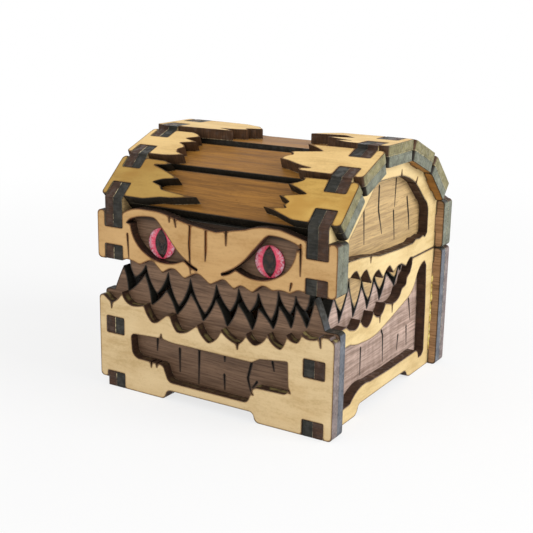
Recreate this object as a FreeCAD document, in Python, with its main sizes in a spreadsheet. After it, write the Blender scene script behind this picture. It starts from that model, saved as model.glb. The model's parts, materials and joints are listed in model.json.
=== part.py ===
import FreeCAD, Part
import math
import os
import Sketcher
from FreeCAD import Placement, Rotation, Vector

# A small dice chest with a toothed mouth.  Every wall is two sheets of plywood,
# a dark walnut panel inside and a pale maple overlay outside.  The side walls
# carry tabs that pass through slots in the front, back and roof sheets.
# +X is the right-hand side seen from the front, -Y the front, +Z up, and the
# origin is the bottom centre of the bounding box.

SIZES = [
    # the box
    ("ply_thickness", 3.2),        # one sheet; a wall is two
    ("box_width", 82.4),           # over the ears
    ("box_depth", 81.2),           # front overlay to back overlay
    ("ear_length", 3.0),           # front and back sheets stand out past the sides
    ("ear_round", 1.3),
    ("mouth_height", 40.4),        # top of the base
    ("parting_gap", 0.15),         # base rim to lid rim
    ("foot_height", 3.0),          # arch under the bottom edges
    ("ear_lift", 2.7),             # left-hand ears of the base stop short of the table
    # the lid's vault
    ("lid_wall_height", 20.7),     # mouth to the eaves
    ("roof_rise", 18.2),           # eaves to the flat crown
    ("crown_width", 19.9),
    ("crown_forward", 1.35),       # in front of the middle of the eaves
    ("front_shoulder_run", 15.6),
    ("front_shoulder_drop", 7.1),
    ("back_shoulder_run", 17.4),
    ("back_shoulder_drop", 6.7),
    ("crown_step", 1.05),          # the plank in front ends this far below the crown
    ("knee_step", 0.5),            # and the front plank this far below that one
    ("front_eave_setback", 0.8),
    ("back_eave_setback", 3.2),
    ("eave_gap", 0.3),             # lid's sheets to the ends of the lowest planks
    ("seam", 0.15),                # play in a joint between roof planks
    # tabs and slots
    ("tab_recess", 0.1),           # tab ends lie this far below the faces
    ("slot_clearance", 0.1),       # each side of a tab
    ("roof_web", 6.0),             # solid strip between the two slots of a plank
    ("roof_left_inset", 0.9),      # left-hand ends of the roof stop short of the ears' line
    ("foot_slot_height", 4.8),
    ("mid_slot_bottom", 17.6),
    ("mid_slot_height", 5.2),
    ("rim_slot_depth", 4.9),       # down from the mouth, in the back of the base
    ("lid_slot_height", 5.4),      # up from the mouth
    ("lid_web", 5.6),
    # floor
    ("floor_height", 3.6),
    ("floor_tab_width", 9.0),
    ("floor_tab_inset", 8.8),      # side wall to the middle of a tab
    # eyes
    ("eye_diameter", 9.2),
    ("eye_place", 0.588),          # of the way from the middle to the side wall
    ("eye_height", 7.6),           # above the mouth
    ("iris_thickness", 0.3),
    ("glass_height", 2.8),
    ("glass_rim", 0.7),
    # engraved cracks
    ("crack_width", 0.55),
    ("crack_depth", 0.5),
    # hinges
    ("pin_offset", 1.8),           # pin axis behind the back face
    ("pin_radius", 0.6),
    ("pin_clearance", 0.05),
    ("knuckle_radius", 1.5),
    ("lid_knuckle_width", 5.8),
    ("knuckle_gap", 0.15),
    ("leaf_thickness", 0.8),
    ("leaf_width", 18.0),
    ("leaf_height", 8.0),
    ("leaf_relief", 0.3),          # a leaf's edge to the other leaf's knuckle
    ("hinge_inset", 11.8),         # side wall to the middle of a hinge
    ("screw_radius", 0.7),
    ("screw_clearance", 0.1),      # screw to leaf
    ("screw_length", 5.0),         # in the wood
    ("screw_head_radius", 1.3),
    ("screw_head_height", 0.6),
    ("screw_spacing", 11.0),
    ("screw_height", 5.2),         # above or below the pin
]

doc = FreeCAD.newDocument("DiceChest")
sheet = doc.addObject("Spreadsheet::Sheet", "Sizes")
for row, (alias, value) in enumerate(SIZES, start=1):
    sheet.set("A%d" % row, str(value))
    sheet.setAlias("A%d" % row, alias)
doc.recompute()


def size(alias):
    """Read one driving size from the sheet."""
    return float(sheet.get(alias))


# ------------------------------------------------------------ sizes worked out

PLY = size("ply_thickness")
HALF_WIDTH = size("box_width") / 2
SLOT_OUT = HALF_WIDTH - size("ear_length")        # outer face of a side wall
SLOT_IN = SLOT_OUT - 2 * PLY                      # inner face of a side wall
SLOT_MIDDLE = (SLOT_OUT + SLOT_IN) / 2
HALF_DEPTH = size("box_depth") / 2
INNER_DEPTH = HALF_DEPTH - 2 * PLY                # inner face of front and back walls
CLEAR = size("slot_clearance")
RECESS = size("tab_recess")
TAB_REACH = HALF_DEPTH - RECESS
FOOT = size("foot_height")
MOUTH = size("mouth_height")
LID_RIM = MOUTH + size("parting_gap")
EAVES = MOUTH + size("lid_wall_height")
CROWN = EAVES + size("roof_rise")
FOOT_TAB_TOP = size("foot_slot_height") - CLEAR
MID_TAB_BOTTOM = size("mid_slot_bottom") + CLEAR
MID_TAB_TOP = size("mid_slot_bottom") + size("mid_slot_height") - CLEAR
RIM_TAB_BOTTOM = MOUTH - size("rim_slot_depth") + CLEAR
LID_TAB_TOP = MOUTH + size("lid_slot_height") - CLEAR
UPPER_TAB_BOTTOM = MOUTH + size("lid_slot_height") + size("lid_web") + CLEAR

# The carved outlines below are drawn for these sizes, and stretch with the chest.
DRAWN_SLOT_IN = 31.8
DRAWN_INNER_DEPTH = 34.2
DRAWN_MOUTH = 40.4
DRAWN_LID = 38.9
DRAWN_EYE = 9.2
DRAWN_FOOT = 3.0

# Places that several pieces share, as expressions on the sheet.
CENTRE_Y = "-(Sizes.pin_offset + Sizes.knuckle_radius) / 2"
FRONT_Y = CENTRE_Y + " - Sizes.box_depth / 2"
BACK_Y = CENTRE_Y + " + Sizes.box_depth / 2"
PIN_Y = BACK_Y + " + Sizes.pin_offset"
PIN_Z = "Sizes.mouth_height + Sizes.parting_gap / 2"
SIDE_X = "Sizes.box_width / 2 - Sizes.ear_length"
WALL_X = "(" + SIDE_X + " - 2 * Sizes.ply_thickness)"
SLOT_LEFT = WALL_X + " - Sizes.slot_clearance"
SLOT_WIDTH = "2 * Sizes.ply_thickness + 2 * Sizes.slot_clearance"

# Slots in the front and back sheets: bottom and height.
FOOT_SLOT = ("-Sizes.foot_height", "Sizes.foot_height + Sizes.foot_slot_height")
MID_SLOT = ("Sizes.mid_slot_bottom", "Sizes.mid_slot_height")
RIM_SLOT = ("Sizes.mouth_height - Sizes.rim_slot_depth", "2 * Sizes.rim_slot_depth")
LID_SLOT = ("Sizes.mouth_height - Sizes.lid_slot_height", "2 * Sizes.lid_slot_height")
UPPER_SLOT = ("Sizes.mouth_height + Sizes.lid_slot_height + Sizes.lid_web",
              "Sizes.lid_wall_height")
# Slots in a roof plank, from its middle towards the front and the back.
PLANK_SLOTS = (("Sizes.roof_web / 2", "Sizes.box_depth"),
               ("-Sizes.roof_web / 2 - Sizes.box_depth", "Sizes.box_depth"))


COINCIDENT = 1e-6                                 # places closer than this are one


# ------------------------------------------------------------ paths
# A path is a list of places.  (a, b) is reached by a straight line, and
# (m, n, a, b) by an arc through (m, n).

def shaped(path, across, up):
    """Put each number of a path through the stretch that belongs to it."""
    return [tuple((across, up)[i % 2](number) for i, number in enumerate(place)) for place in path]


def flipped(path):
    """A path reflected left to right, in the same order."""
    return shaped(path, lambda a: -a, lambda b: b)


def backwards(path):
    """The same open path walked from its far end."""
    ends = [place[-2:] for place in path]
    walked = [ends[-1]]
    for i in range(len(path) - 1, 0, -1):
        walked.append(path[i][:-2] + ends[i - 1])
    return walked


def front_across(x):
    """Carving between the side walls stretches; what is over them moves along."""
    if abs(x) <= DRAWN_SLOT_IN:
        return x * SLOT_IN / DRAWN_SLOT_IN
    return x + (SLOT_IN - DRAWN_SLOT_IN) * math.copysign(1, x)


def side_across(y):
    return y * INNER_DEPTH / DRAWN_INNER_DEPTH


def above_table(z):
    return z * MOUTH / DRAWN_MOUTH


def above_mouth(z):
    return MOUTH + z * MOUTH / DRAWN_MOUTH


def up_the_lid(z):
    return MOUTH + z * (CROWN - MOUTH) / DRAWN_LID


def foot_up(z):
    return z * FOOT / DRAWN_FOOT


def corner(before, at, after, radius):
    """Round a corner: its start, and an arc to its end."""
    to_before = (Vector(*before) - Vector(*at)).normalize()
    to_after = (Vector(*after) - Vector(*at)).normalize()
    half_angle = to_before.getAngle(to_after) / 2
    start = Vector(*at) + to_before * (radius / math.tan(half_angle))
    end = Vector(*at) + to_after * (radius / math.tan(half_angle))
    inward = (to_before + to_after).normalize()
    middle = Vector(*at) + inward * (radius / math.sin(half_angle) - radius)
    return [(start.x, start.y), (middle.x, middle.y, end.x, end.y)]


def crack(places, width):
    """A thin split that starts square and runs out to a point."""
    left = []
    right = []
    for here, ahead in zip(places, places[1:]):
        course = (Vector(*ahead) - Vector(*here)).normalize()
        left.append((here[0] - course.y * width / 2, here[1] + course.x * width / 2))
        right.append((here[0] + course.y * width / 2, here[1] - course.x * width / 2))
    return left + [places[-1]] + right[::-1]


def edges_of(path):
    """Lines and arcs of a closed path, which starts with a plain corner."""
    edges = []
    start = path[0]
    for place in path[1:] + path[:1]:
        end = place[-2:]
        if len(place) == 4:
            edges.append(Part.Arc(Vector(*start), Vector(*place[:2]), Vector(*end)))
        elif (Vector(*end) - Vector(*start)).Length > COINCIDENT:
            edges.append(Part.LineSegment(Vector(*start), Vector(*end)))
        start = end
    return edges


# ------------------------------------------------------------ building helpers

def own_plane(body, role):
    return [feature for feature in body.Origin.OriginFeatures if feature.Role == role][0]


def new_sketch(body, name, role, lift=None):
    """A sketch on one of the body's own planes, lifted by an expression if given."""
    sketch = body.newObject("Sketcher::SketchObject", name)
    sketch.AttachmentSupport = [(own_plane(body, role), "")]
    sketch.MapMode = "FlatFace"
    if lift:
        sketch.setExpression("AttachmentOffset.Base.z", lift)
    return sketch


def draw(sketch, path):
    """Draw a closed path and tie its straight edges end to end."""
    first = sketch.GeometryCount
    edges = edges_of(path)
    sketch.addGeometry(edges, False)
    for i, edge in enumerate(edges):
        following = (i + 1) % len(edges)
        if isinstance(edge, Part.LineSegment) and isinstance(edges[following], Part.LineSegment):
            sketch.addConstraint(Sketcher.Constraint("Coincident", first + i, 2, first + following, 1))


def bind(sketch, constraint, expression):
    index = sketch.addConstraint(constraint)
    sketch.setExpression("Constraints[%d]" % index, expression)


def rectangle(sketch, left, bottom, width, height):
    """A rectangle whose place and size follow four expressions."""
    first = sketch.GeometryCount
    places = [Vector(0, 0), Vector(9, 0), Vector(9, 9), Vector(0, 9)]
    for i, direction in enumerate(("Horizontal", "Vertical") * 2):
        sketch.addGeometry(Part.LineSegment(places[i], places[(i + 1) % 4]), False)
        sketch.addConstraint(Sketcher.Constraint(direction, first + i))
    for i in range(4):
        sketch.addConstraint(Sketcher.Constraint("Coincident", first + i, 2, first + (i + 1) % 4, 1))
    bind(sketch, Sketcher.Constraint("DistanceX", first, 1, first, 2, 9.0), width)
    bind(sketch, Sketcher.Constraint("DistanceY", first + 1, 1, first + 1, 2, 9.0), height)
    bind(sketch, Sketcher.Constraint("DistanceX", -1, 1, first, 1, 0.0), left)
    bind(sketch, Sketcher.Constraint("DistanceY", -1, 1, first, 1, 0.0), bottom)


def circle(sketch, across, up, radius):
    """A circle whose centre and radius follow three expressions."""
    index = sketch.addGeometry(Part.Circle(Vector(1, 1), Vector(0, 0, 1), 1.0), False)
    bind(sketch, Sketcher.Constraint("Radius", index, 1.0), radius)
    bind(sketch, Sketcher.Constraint("DistanceX", -1, 1, index, 3, 1.0), across)
    bind(sketch, Sketcher.Constraint("DistanceY", -1, 1, index, 3, 1.0), up)


def pad(body, sketch, name, length, both_ways=False):
    feature = body.newObject("PartDesign::Pad", name)
    feature.Profile = sketch
    feature.setExpression("Length", length)
    feature.Midplane = both_ways
    return feature


def cut_through(body, sketch, name):
    """Cut a sketch right through the body, both ways."""
    feature = body.newObject("PartDesign::Pocket", name)
    feature.Profile = sketch
    feature.Type = "ThroughAll"
    feature.Midplane = True
    return feature


def new_plate(label, role, outline, windows=()):
    """One sheet of plywood cut to an outline."""
    body = doc.addObject("PartDesign::Body", label)
    sketch = new_sketch(body, label + "_outline", role)
    for path in [outline] + list(windows):
        draw(sketch, path)
    pad(body, sketch, label + "_sheet", "Sizes.ply_thickness")
    return body


def set_place(piece, x="0", y="0", z="0"):
    """Bind a piece's place to three expressions."""
    piece.setExpression("Placement.Base.x", x)
    piece.setExpression("Placement.Base.y", y)
    piece.setExpression("Placement.Base.z", z)


def cut_slots(body, role, slots, both_ends=True, left_end=False):
    """Slots for the side walls' tabs, at one end of the sheet or at both."""
    sketch = new_sketch(body, body.Label + "_slot_shape", role)
    left = "-(" + SLOT_LEFT + ") - (" + SLOT_WIDTH + ")" if left_end else SLOT_LEFT
    for bottom, height in slots:
        rectangle(sketch, left, bottom, SLOT_WIDTH, height)
    cut = cut_through(body, sketch, body.Label + "_slots")
    if both_ends:
        mirror = body.newObject("PartDesign::Mirrored", body.Label + "_slots_both_ends")
        mirror.Originals = [cut]
        mirror.MirrorPlane = (own_plane(body, "YZ_Plane"), [""])
        body.Tip = mirror


def cut_splits(body, role, splits):
    """Splits that go right through an overlay."""
    sketch = new_sketch(body, body.Label + "_split_shape", role)
    for places in splits:
        draw(sketch, crack(places, 1.3 * size("crack_width")))
    cut_through(body, sketch, body.Label + "_splits")


def engrave(body, role, cracks, at_sketch_plane=False):
    """Shallow cracks in the outer face, which is the sketch plane or the pad's far side."""
    lift = None if at_sketch_plane else "Sizes.ply_thickness"
    sketch = new_sketch(body, body.Label + "_crack_shape", role, lift)
    for places in cracks:
        draw(sketch, crack(places, size("crack_width")))
    feature = body.newObject("PartDesign::Pocket", body.Label + "_cracks")
    feature.Profile = sketch
    feature.setExpression("Length", "Sizes.crack_depth")
    feature.Reversed = at_sketch_plane


# ------------------------------------------------------------ the vault

VAULT_MIDDLE = (size("front_eave_setback") - size("back_eave_setback")) / 2
CROWN_FRONT = VAULT_MIDDLE - size("crown_forward") - size("crown_width") / 2
CROWN_BACK = CROWN_FRONT + size("crown_width")
# Joints of the outer faces, front to back: y, z, and how far below that the plank in
# front of the joint ends.
VAULT = [
    (-HALF_DEPTH + size("front_eave_setback"), EAVES, 0.0),
    (CROWN_FRONT - size("front_shoulder_run"), CROWN - size("front_shoulder_drop"), size("knee_step")),
    (CROWN_FRONT, CROWN, size("crown_step")),
    (CROWN_BACK, CROWN, 0.0),
    (CROWN_BACK + size("back_shoulder_run"), CROWN - size("back_shoulder_drop"), 0.0),
    (HALF_DEPTH - size("back_eave_setback"), EAVES, 0.0),
]
PLANKS = range(len(VAULT) - 1)


def ends_of(plank):
    """Front and back ends of a plank's outer face."""
    y, z, step = VAULT[plank + 1]
    return Vector(*VAULT[plank][:2]), Vector(y, z - step)


def slope_of(plank):
    front, back = ends_of(plank)
    return math.atan2(back.y - front.y, back.x - front.x)


def length_of(plank):
    front, back = ends_of(plank)
    return (back - front).Length


def half_bend(joint):
    """Half the turn between the planks that meet at a joint; none at the eaves."""
    if joint in (0, len(PLANKS)):
        return 0.0
    return (slope_of(joint - 1) - slope_of(joint)) / 2


def on_plank(plank, along, depth):
    """A place along a plank from its middle, and below its outer face."""
    slope = slope_of(plank)
    front, back = ends_of(plank)
    middle = (front + back) / 2
    return (middle.x + along * math.cos(slope) + depth * math.sin(slope),
            middle.y + along * math.sin(slope) - depth * math.cos(slope))


def plank_ends(plank, depth):
    """Front and back ends of a sheet whose inner face is at this depth."""
    half = length_of(plank) / 2
    ends = []
    for joint in (plank, plank + 1):
        trim = depth * math.tan(half_bend(joint)) + (size("seam") if half_bend(joint) else 0.0)
        ends.append(half - trim)
    return -ends[0], ends[1]


def vault_rim():
    """Top edge of a lid side wall from front to back, with its bent tabs."""
    reach = size("roof_web") / 2 + CLEAR
    rim = []
    for plank in PLANKS:
        rim.append(on_plank(plank, -reach, RECESS))
        rim.append(on_plank(plank, -reach, 2 * PLY))
        rim.append(on_plank(plank, reach, 2 * PLY))
        rim.append(on_plank(plank, reach, RECESS))
        if plank < len(PLANKS) - 1:
            mean = (slope_of(plank) + slope_of(plank + 1)) / 2
            drop = RECESS / math.cos(half_bend(plank + 1))
            for place in (ends_of(plank)[1], ends_of(plank + 1)[0]):
                rim.append((place.x + drop * math.sin(mean), place.y - drop * math.cos(mean)))
    front_y, front_z = on_plank(0, 0, RECESS)
    back_y, back_z = on_plank(len(PLANKS) - 1, 0, RECESS)
    front = (-TAB_REACH, front_z + (-TAB_REACH - front_y) * math.tan(slope_of(0)))
    back = (TAB_REACH, back_z + (TAB_REACH - back_y) * math.tan(slope_of(len(PLANKS) - 1)))
    return [front] + rim + [back]


# ------------------------------------------------------------ front and back sheets

def ear(edge_end, bottom, top):
    """Right-hand ear of a sheet, from the end of its bottom edge up to its top edge."""
    reach = size("ear_round")
    return ([(SLOT_MIDDLE, edge_end[-1]), (SLOT_MIDDLE, bottom)]
            + corner((SLOT_MIDDLE, bottom), (HALF_WIDTH, bottom), (HALF_WIDTH, top), reach)
            + corner((HALF_WIDTH, bottom), (HALF_WIDTH, top), (SLOT_MIDDLE, top), reach))


def sheet_outline(bottom_edge, ear_bottom, ear_top, top_edge, left_lift=0.0):
    """A front or back sheet.  The bottom edge runs left to right, the top edge right
    to left, and an ear closes each end, the left one cut short by left_lift."""
    left = backwards(flipped(ear(bottom_edge[0], ear_bottom + left_lift, ear_top)))
    return bottom_edge + ear(bottom_edge[-1], ear_bottom, ear_top) + top_edge + left


FEET = [(-17.4, 0.0), (-16.2, 0.5, -15.7, 1.5), (-15.1, 2.6, -13.9, 3.0),
        (13.9, 3.0), (15.1, 2.6, 15.7, 1.5), (16.2, 0.5, 17.4, 0.0)]

# Lower teeth of the base's front panel, right to left, above the table.
LOWER_TEETH = [(36.4, 30.8), (34.9, 34.9, 32.9, 39.4), (31.9, 35.0, 30.6, 30.7),
               (29.0, 33.8, 26.9, 36.5), (26.5, 33.0, 25.6, 29.7), (23.8, 32.9, 21.5, 35.4),
               (21.0, 31.7, 19.8, 28.4), (17.5, 31.3, 14.7, 33.5), (14.1, 30.1, 12.8, 26.8),
               (10.6, 30.7, 7.9, 33.8), (6.5, 29.8, 4.2, 26.3), (2.5, 30.4, 0.2, 33.8),
               (-1.6, 29.9, -4.3, 26.4), (-6.2, 30.6, -8.8, 34.1), (-10.9, 30.2, -13.8, 26.7),
               (-15.4, 30.5, -17.7, 33.6), (-20.1, 30.7, -23.2, 28.2), (-24.0, 32.9, -25.7, 37.4),
               (-28.5, 34.0, -32.1, 31.0), (-32.6, 34.9, -34.0, 38.8), (-36.1, 34.4, -37.6, 30.8)]

# Upper teeth of the lid's front panel, left to right, from the mouth.
UPPER_TEETH = [(-31.5, 0.7), (-31.0, -2.4, -29.5, -4.8), (-26.9, -2.8, -25.3, -0.3),
               (-23.8, -4.9, -21.2, -8.6), (-18.6, -5.3, -16.9, -1.4), (-15.6, -6.7, -13.1, -11.2),
               (-10.4, -7.1, -8.8, -2.1), (-6.9, -7.4, -3.6, -12.0), (-1.0, -7.7, 0.4, -2.4),
               (2.3, -6.4, 5.2, -9.6), (7.2, -6.3, 8.1, -2.3), (9.6, -5.6, 11.9, -8.5),
               (13.9, -5.7, 14.7, -2.3), (16.5, -6.5, 19.2, -9.9), (20.8, -5.6, 21.3, -0.7),
               (22.6, -4.0, 25.2, -6.8), (26.5, -4.2, 26.9, -1.1), (27.9, -3.4, 30.1, -5.1),
               (31.1, -3.0, 31.4, -1.2), (31.8, 0.7)]

# Scalloped lip of the base's front overlay, right to left, above the table.
LOWER_LIP = [(39.5, 30.2), (36.2, 30.0), (35.1, 28.9, 34.1, 28.8), (32.2, 28.8, 30.6, 30.0),
             (30.3, 28.2, 29.3, 26.9), (27.3, 27.3, 25.9, 28.5), (25.4, 26.0, 24.1, 24.0),
             (21.6, 25.2, 19.8, 27.6), (18.0, 24.9, 15.6, 23.6), (13.9, 24.6, 12.7, 26.4),
             (11.6, 24.2, 9.8, 22.8), (6.6, 23.9, 4.1, 26.0), (2.4, 22.9, -0.3, 21.2),
             (-2.6, 23.1, -4.2, 25.9), (-6.8, 23.9), (-9.0, 22.7, -11.5, 22.4),
             (-13.0, 24.4, -13.9, 26.9), (-15.3, 27.0), (-17.8, 25.0),
             (-19.3, 24.0, -20.8, 23.8), (-22.6, 25.9, -23.8, 28.6), (-26.2, 27.9, -28.4, 27.7),
             (-30.9, 28.9, -32.2, 31.3), (-34.0, 28.9, -36.3, 27.4), (-38.2, 28.6, -39.4, 29.5)]

FRONT_WINDOW = [(-28.8, 17.6), (-28.2, 18.4, -27.2, 18.6), (-17.1, 19.1), (-13.9, 18.5, -10.4, 18.4),
                (14.9, 18.1), (17.5, 19.6), (26.5, 20.7), (26.8, 12.9),
                (26.5, 11.6, 25.3, 11.0), (17.0, 10.9), (15.2, 10.2, 14.5, 8.9),
                (13.8, 6.9), (13.0, 5.9, 11.8, 5.7), (-13.3, 5.8), (-14.6, 6.2, -15.3, 7.2),
                (-16.2, 9.4), (-16.8, 10.5, -17.8, 10.9), (-25.4, 11.1), (-27.6, 11.8, -28.5, 13.5)]

# Splits in the base's front overlay: at the window's corners, then in the lip.
FRONT_SPLITS = [[(-17.5, 18.9), (-17.4, 20.8)], [(-21.2, 11.2), (-21.3, 9.0)],
                [(-19.1, 11.1), (-19.2, 9.4)], [(26.6, 13.1), (27.8, 11.4)],
                [(14.3, 9.6), (15.6, 8.2)], [(-36.4, 27.9), (-36.4, 25.3)],
                [(9.8, 23.1), (9.9, 21.0)], [(36.4, 30.4), (36.9, 26.7)]]

# Cracks engraved in the base's front panel, above the table.
FRONT_CRACKS = [[(-21.1, 17.7), (-21.3, 13.5)], [(-12.8, 16.2), (-12.7, 8.4)],
                [(-5.6, 17.0), (-5.8, 6.1)], [(3.5, 17.2), (3.5, 15.0)],
                [(3.4, 11.3), (3.6, 6.2)], [(12.9, 17.0), (11.6, 11.8), (12.7, 7.7)],
                [(14.9, 11.4), (13.1, 8.9)], [(19.8, 18.6), (20.5, 15.5)]]

# Toothed lip of the lid's front overlay, left to right, from the mouth.
UPPER_LIP = [(-31.8, 1.0), (-30.2, 1.6), (-28.0, 1.4, -25.3, 0.5),
             (-22.4, 2.0), (-21.1, 2.4, -20.0, 2.2), (-16.8, -0.7),
             (-14.5, 0.8), (-13.1, 1.2, -11.9, 1.0), (-8.8, -1.3),
             (-5.6, 0.6), (-4.3, 1.0, -3.2, 0.8), (0.3, -1.6),
             (3.6, 0.2), (4.9, 0.7, 5.8, 0.4), (8.4, -1.6),
             (9.9, -0.6), (10.9, -0.1, 11.9, -0.4), (14.7, -1.6),
             (16.9, 0.4), (18.2, 1.0, 19.3, 0.8), (21.3, 0.0), (23.7, 0.6, 26.8, 0.0),
             (28.3, 1.0), (29.7, 1.5, 30.9, 1.3), (31.8, 0.9)]

# Brow of the lid's front overlay, right to left, down from its highest place.
BROW = [(31.8, -2.1), (27.8, -1.1, 23.3, 0.0), (18.8, 0.0), (15.6, -0.4, 12.0, -1.5),
        (7.7, -2.3), (2.2, -3.5), (-2.6, -2.9, -7.7, -2.3), (-13.8, -1.0),
        (-17.4, -0.2, -21.1, 0.0), (-24.8, 0.0), (-28.4, -0.6, -31.8, -2.3)]

BROW_SPLITS = [[(-14.1, 0.4), (-14.1, -2.9)], [(-12.6, 0.2), (-11.7, -4.1)],
               [(5.7, -1.6), (5.7, -7.1)]]

# Cracks engraved in the lid's front overlay, from the mouth.
BROW_CRACKS = [[(-29.7, 9.7), (-29.3, 2.1)], [(-6.7, 15.1), (-7.0, 9.4), (-6.6, 0.6)],
               [(-1.2, 14.2), (-1.2, 8.6), (-1.4, 5.0)],
               [(29.8, 14.6), (29.9, 5.5)], [(27.3, 3.4), (26.7, 0.9)]]

# Opening round the left eye, from the eye's centre.
EYE_OPENING = [(-11.3, 5.3), (-9.9, 6.6), (-5.6, 7.8, -1.0, 8.0), (0.2, 7.2), (4.8, 2.0),
               (9.3, -2.4, 14.6, -5.2), (14.4, -5.7), (12.0, -4.9, 9.8, -3.3),
               (8.4, -3.9), (1.6, -5.1, -4.4, -3.1), (-8.3, 0.6, -9.8, 5.2)]


def eye_opening():
    """The opening of the left eye at its own size and place."""
    scale = size("eye_diameter") / DRAWN_EYE
    return shaped(EYE_OPENING,
                  lambda x: x * scale * SLOT_IN / DRAWN_SLOT_IN - SLOT_IN * size("eye_place"),
                  lambda z: z * scale + MOUTH + size("eye_height"))


def under_eave(plank, setback, thickness):
    """How high a sheet can stand at the lowest end of a plank, when its inner face is a
    thickness inside the outer face of the wall and the plank's end a setback inside."""
    return EAVES - (thickness - setback) / math.tan(abs(slope_of(plank))) - size("eave_gap")


# The lid's front and back sheets stop just under the ends of the lowest planks.
PANEL_TOP = EAVES - 2 * PLY * math.cos(slope_of(0)) - 0.2
BROW_TOP = under_eave(0, size("front_eave_setback"), PLY)
BACK_PANEL_TOP = under_eave(PLANKS[-1], size("back_eave_setback"), 2 * PLY)
BACK_OVERLAY_TOP = under_eave(PLANKS[-1], size("back_eave_setback"), PLY)
LID_EAR_TOP = PANEL_TOP + 0.1
LID_EAR_BOTTOM = LID_RIM + 0.6
BASE_EAR_TOP = above_table(29.5)
INNER_EAR_TOP = above_table(30.8)

feet = shaped(FEET, front_across, foot_up)
lower_teeth = shaped(LOWER_TEETH, front_across, above_table)
lower_lip = shaped(LOWER_LIP, front_across, above_table)
upper_teeth = shaped(UPPER_TEETH, front_across, above_mouth)
upper_lip = shaped(UPPER_LIP, front_across, above_mouth)
brow = shaped(BROW, front_across, lambda drop: BROW_TOP + drop)
lid_rim = [(-SLOT_IN, LID_RIM), (SLOT_IN, LID_RIM)]

panel = new_plate("base_front_panel", "XZ_Plane",
                  sheet_outline(feet, 0.0, INNER_EAR_TOP, lower_teeth, size("ear_lift")))
set_place(panel, y=FRONT_Y + " + 2 * Sizes.ply_thickness")
cut_slots(panel, "XZ_Plane", [FOOT_SLOT, MID_SLOT])
engrave(panel, "XZ_Plane", [shaped(places, front_across, above_table) for places in FRONT_CRACKS])

panel = new_plate("base_front_overlay", "XZ_Plane",
                  sheet_outline(feet, 0.0, BASE_EAR_TOP, lower_lip, size("ear_lift")),
                  [shaped(FRONT_WINDOW, front_across, above_table)])
set_place(panel, y=FRONT_Y + " + Sizes.ply_thickness")
cut_slots(panel, "XZ_Plane", [FOOT_SLOT, MID_SLOT])
cut_splits(panel, "XZ_Plane", [shaped(places, front_across, above_table) for places in FRONT_SPLITS])

back_rim = [(SLOT_IN, MOUTH), (-SLOT_IN, MOUTH)]
for label, place in (("base_back_panel", BACK_Y + " - Sizes.ply_thickness"),
                     ("base_back_overlay", BACK_Y)):
    panel = new_plate(label, "XZ_Plane",
                      sheet_outline(feet, 0.0, MOUTH, back_rim, size("ear_lift")))
    set_place(panel, y=place)
    cut_slots(panel, "XZ_Plane", [FOOT_SLOT, MID_SLOT, RIM_SLOT])

panel = new_plate("lid_front_panel", "XZ_Plane",
                  sheet_outline(upper_teeth, LID_EAR_BOTTOM, PANEL_TOP,
                                [(SLOT_IN, PANEL_TOP), (-SLOT_IN, PANEL_TOP)]))
set_place(panel, y=FRONT_Y + " + 2 * Sizes.ply_thickness")
cut_slots(panel, "XZ_Plane", [LID_SLOT, UPPER_SLOT])

panel = new_plate("lid_front_overlay", "XZ_Plane",
                  sheet_outline(upper_lip, LID_EAR_BOTTOM, LID_EAR_TOP, brow),
                  [eye_opening(), flipped(eye_opening())])
set_place(panel, y=FRONT_Y + " + Sizes.ply_thickness")
cut_slots(panel, "XZ_Plane", [LID_SLOT, UPPER_SLOT])
cut_splits(panel, "XZ_Plane",
           [shaped(places, front_across, lambda drop: BROW_TOP + drop) for places in BROW_SPLITS])
engrave(panel, "XZ_Plane", [shaped(places, front_across, above_mouth) for places in BROW_CRACKS])

for label, place, top in (("lid_back_panel", BACK_Y + " - Sizes.ply_thickness", BACK_PANEL_TOP),
                          ("lid_back_overlay", BACK_Y, BACK_OVERLAY_TOP)):
    panel = new_plate(label, "XZ_Plane",
                      sheet_outline(lid_rim, LID_RIM, PANEL_TOP, [(SLOT_IN, top), (-SLOT_IN, top)]))
    set_place(panel, y=place)
    cut_slots(panel, "XZ_Plane", [LID_SLOT, UPPER_SLOT])


# ------------------------------------------------------------ side walls

# Drawn with the front to the left, above the table.
SIDE_FEET = [(-20.8, 0.0), (-19.2, 0.7, -18.3, 2.0), (-17.6, 2.8, -16.4, 3.0),
             (14.9, 3.0), (16.2, 2.4, 16.9, 1.2), (18.35, 0.32, 20.0, 0.0)]
SIDE_LOWER_TEETH = [(16.7, 40.4), (14.9, 36.4), (13.2, 37.9), (12.3, 35.0, 10.6, 32.4),
                    (7.2, 35.6, 4.3, 37.8), (2.7, 33.7, -0.1, 30.3), (-1.7, 34.1, -4.3, 37.2),
                    (-6.1, 33.2, -8.6, 29.6), (-10.3, 33.8, -12.8, 37.4),
                    (-14.9, 33.1, -17.8, 29.4), (-19.2, 34.8, -21.1, 39.3),
                    (-23.5, 34.5, -26.6, 30.0), (-28.0, 34.4, -30.1, 38.2), (-32.4, 34.3, -34.2, 30.6)]
SIDE_LOWER_LIP = [(16.7, 38.5), (15.4, 36.1), (13.2, 35.0), (12.7, 32.7), (9.7, 32.2), (8.5, 30.3),
                  (4.0, 28.9, 1.2, 29.3), (-2.2, 30.3), (-3.8, 28.0, -5.7, 27.2),
                  (-8.2, 27.7, -10.5, 29.8), (-12.1, 27.1, -14.2, 26.0), (-17.0, 27.2, -19.1, 29.5),
                  (-20.6, 27.8, -23.1, 27.5), (-26.0, 28.3), (-28.0, 29.7), (-34.2, 29.5)]
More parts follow.
